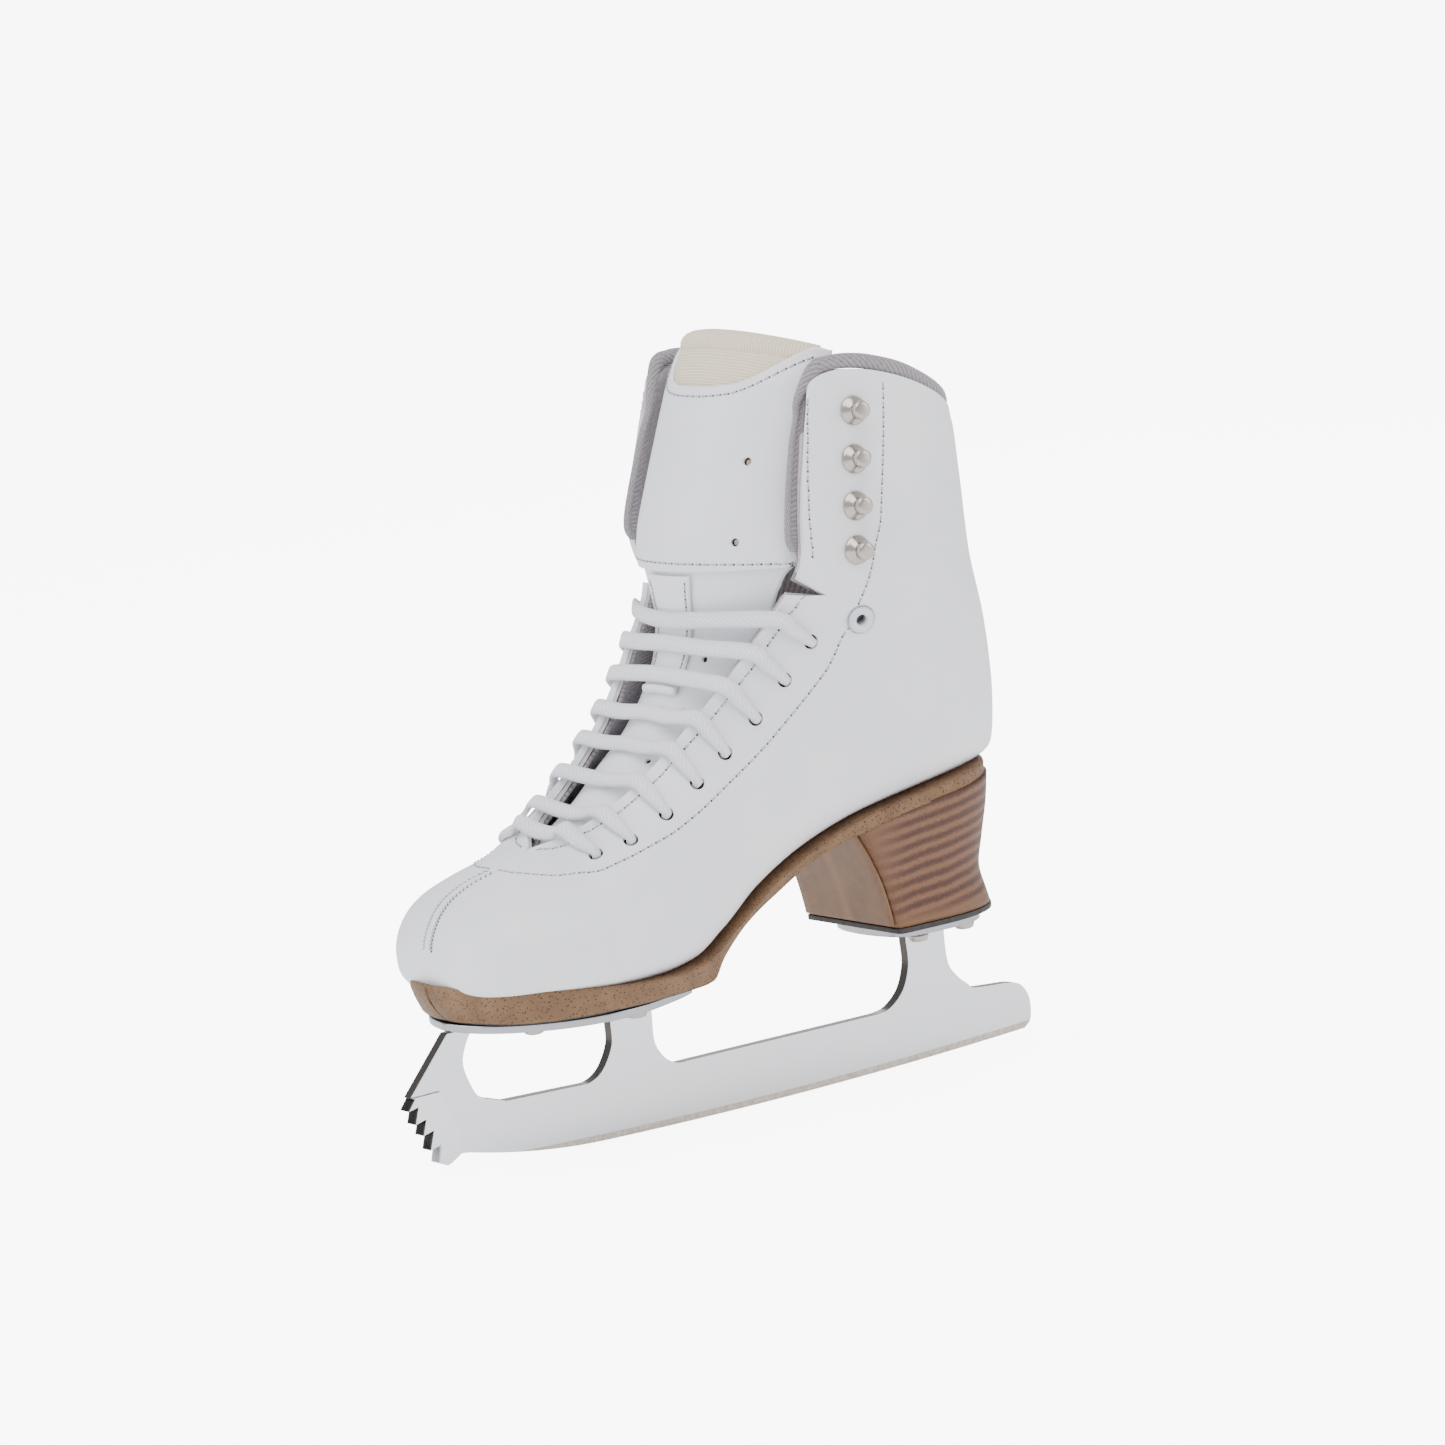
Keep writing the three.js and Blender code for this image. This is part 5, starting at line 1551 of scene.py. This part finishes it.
outline = [*TEETH, *[(y, rocker(y)) for y in steps(-101.4, 115, 60)], *rounded(TAIL),
           (88.6, BLADE_TOP), (72.8, BLADE_TOP), *rounded(HEEL_ARCH), *rounded(MIDDLE_ARCH),
           (-28.4, BLADE_TOP), (-44.5, BLADE_TOP), *rounded(WINDOW), *rounded(WINDOW_TOE),
           (-104.9, BLADE_TOP)]


# %% Runner and pick
def upright_plate(points, thickness):
    return flat_body(points, -thickness / 2, thickness / 2, lambda p, x: at_ice((x, *p)))


# The narrow faces are polished, not plated. Their dark colour is a painted reflection of the dark
# side of a studio.
RUNNER = blade_material()
PAINTED_REFLECTION_EDGE = polished("edge_steel_painted_dark_reflection", "#4A4643", 0.22, 0.0008)[0]


def edged(piece):
    """The narrow faces of an upright plate take the edge steel, painted dark as a reflection."""
    piece.data.materials.append(PAINTED_REFLECTION_EDGE)
    for face in piece.data.polygons:
        if abs(face.normal.x) < 0.5 and face.center.z > EDGE_FROM:
            face.material_index = 1
    return piece


soften(edged(finished("blade_runner", upright_plate(outline, 4.0), "boot", RUNNER,
                      "chromed_steel", ["blade"])), 0.25, 2)
pick = upright_plate([*TEETH, (-104, 14), (-110, 29)], 5.4)
soften(edged(finished("toe_pick", pick, "boot", CHROME, "chromed_steel")), 0.2, 2)

# %% Plates and screws
SOLE_PLATE = [(0, -104.5), (14, -101), (26, -93), (35, -81), (39, -68), (38.5, -55), (34, -42),
              (28.5, -31), (23, -27), (0, -25.5)]
HEEL_PLATE = [(0, 56), (10, 57), (18, 60), (21, 66), (21.5, 80), (19, 90), (12, 96), (0, 98)]
PLATE_STEEL = polished("chromed_plate_steel", "#A9ABB0", 0.2, 0.0010)[0]
for word, points in (("sole", SOLE_PLATE), ("heel", HEEL_PLATE)):
    near = rounded(points)
    plate = flat_body(near + [(-x, y) for x, y in near[-2:0:-1]], BLADE_HEIGHT,
                      BLADE_HEIGHT + PLATE, lambda p, z: at_ice((*p, z)))
    soften(finished(word + "_mounting_plate", plate, "boot", PLATE_STEEL, "chromed_steel",
                    [word + "_plate"]), 0.5)

SCREW = [(0, -1.1), (0.9, -1.15), (1.15, -2.3), (2.1, -2.3), (2.9, -1.95), (3.25, -1.3),
         (3.4, -0.5), (3.4, 0), (1.6, 0), (1.6, 6.0), (0, 6.0)]
SCREWS = {"sole": [(30, -52), (-30, -52), (20, -84), (-20, -84)],
          "heel": [(17, 67.5), (-17, 67.5), (14.5, 88), (-14.5, 88)]}
for word, places in SCREWS.items():
    for i, (x, y) in enumerate(places):
        screw = turned_bm(SCREW, (x, y, BLADE_TOP - SOLE_Z), Vector((0, 0, 1)), 28)
        finished(f"{word}_mounting_screw_{i + 1}", screw, "boot", NICKEL, "nickel",
                 [f"{word}_screw_{i + 1}"])
print("blade outline points:", len(outline))


# %% [markdown]
# ## Inside the boot
# The footbed is a cushioned sheet that lies over the insole board. The stiffening
# boards, the ankle foam and the steel shank stay as they are in the frame, and
# they are hidden by the lining. Each gets the material it is made of.

# %% Footbed and inner pieces
WALL_DEPTH, FLOOR_DEPTH = 9.6, 11.6


def foot_floor(u, s):
    """The inside of the boot at a height over its bottom, s from -1 to 1 across."""
    t = 1 - 0.13 * abs(s)
    wall = layer(u, t, WALL_DEPTH)
    x = wall.x * abs(s) ** 0.8
    low = layer(u, 1, FLOOR_DEPTH)
    return Vector((math.copysign(x, s), low.y, lerp(low.z, max(low.z, wall.z), s * s)))


footbed = laid_grid("cushioned_footbed", steps(2.2, 14.6, 60), steps(-1, 1, 30), foot_floor)
thicken(footbed, mm(3.0), 0.0008)
finish_with(footbed, FOOTBED, "cream_cloth", "footbed")
print("footbed:", len(footbed.data.polygons), "faces")

# Fibre board is pressed pulp: matt, grey-white, with short fibres. Latex foam is cream,
# with cells of a little under a millimetre.
BOARD = mottled("pressed_fibre_board", "#CBC7C4", 0.85, [(0.3, "#BDB9B7"), (0.7, "#D6D2CE")],
                0.0012, (0.0002, 0.4), Detail=6, Roughness=0.7)
FOAM = mottled("cream_latex_foam", "#E0D6BE", 0.95, [(0.1, "#C7BBA0"), (0.6, "#E6DDC8")], 0.0008,
               (0.0002, 0.5), "TexVoronoi")
INNER = {
    BOARD: ("facing_stay_left", "facing_stay_right", "toe_puff", "heel_counter", "insole_board"),
    FOAM: ("ankle_pad_left", "ankle_pad_right"),
    STEEL: ("shank",),
}
for material, names in INNER.items():
    for name in names:
        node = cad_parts[name]
        node.data.materials.clear()
        node.data.materials.append(material)


# %% [markdown]
# ## Ground
# The skate stands on a pale, plain floor.

# %% Floor
FLOOR_GLOW = 7.0


def floor_material():
    """Matt white paint, which glows to the camera so that it joins the white backdrop."""
    material, shader, node = new_material("matt_white_floor", "#FFFFFF", 0.9,
                                          Emission_Color=(1, 1, 1, 1))
    place = node("TexCoord", out="Object")
    tint = node("TexNoise", [(place, "Vector")], Scale=1.5, Detail=3)
    seen_by_camera = node("LightPath", out="Is Camera Ray")
    wire(shader,
         Base_Color=node("ValToRGB", [(tint, "Fac")], stops=[(0.3, "#F8F8F9"), (0.7, "#FFFFFF")]),
         Emission_Strength=node("Math", [(seen_by_camera, 0), (FLOOR_GLOW, 1), (0.4, 2)],
                                operation="MULTIPLY_ADD"))
    return material


bm = bmesh.new()
bmesh.ops.create_grid(bm, x_segments=2, y_segments=2, size=30.0)
bmesh.ops.translate(bm, verts=bm.verts, vec=(0, 0, -0.0002))
floor = finished("studio_floor", bm, body=None)
floor.data.materials.append(floor_material())
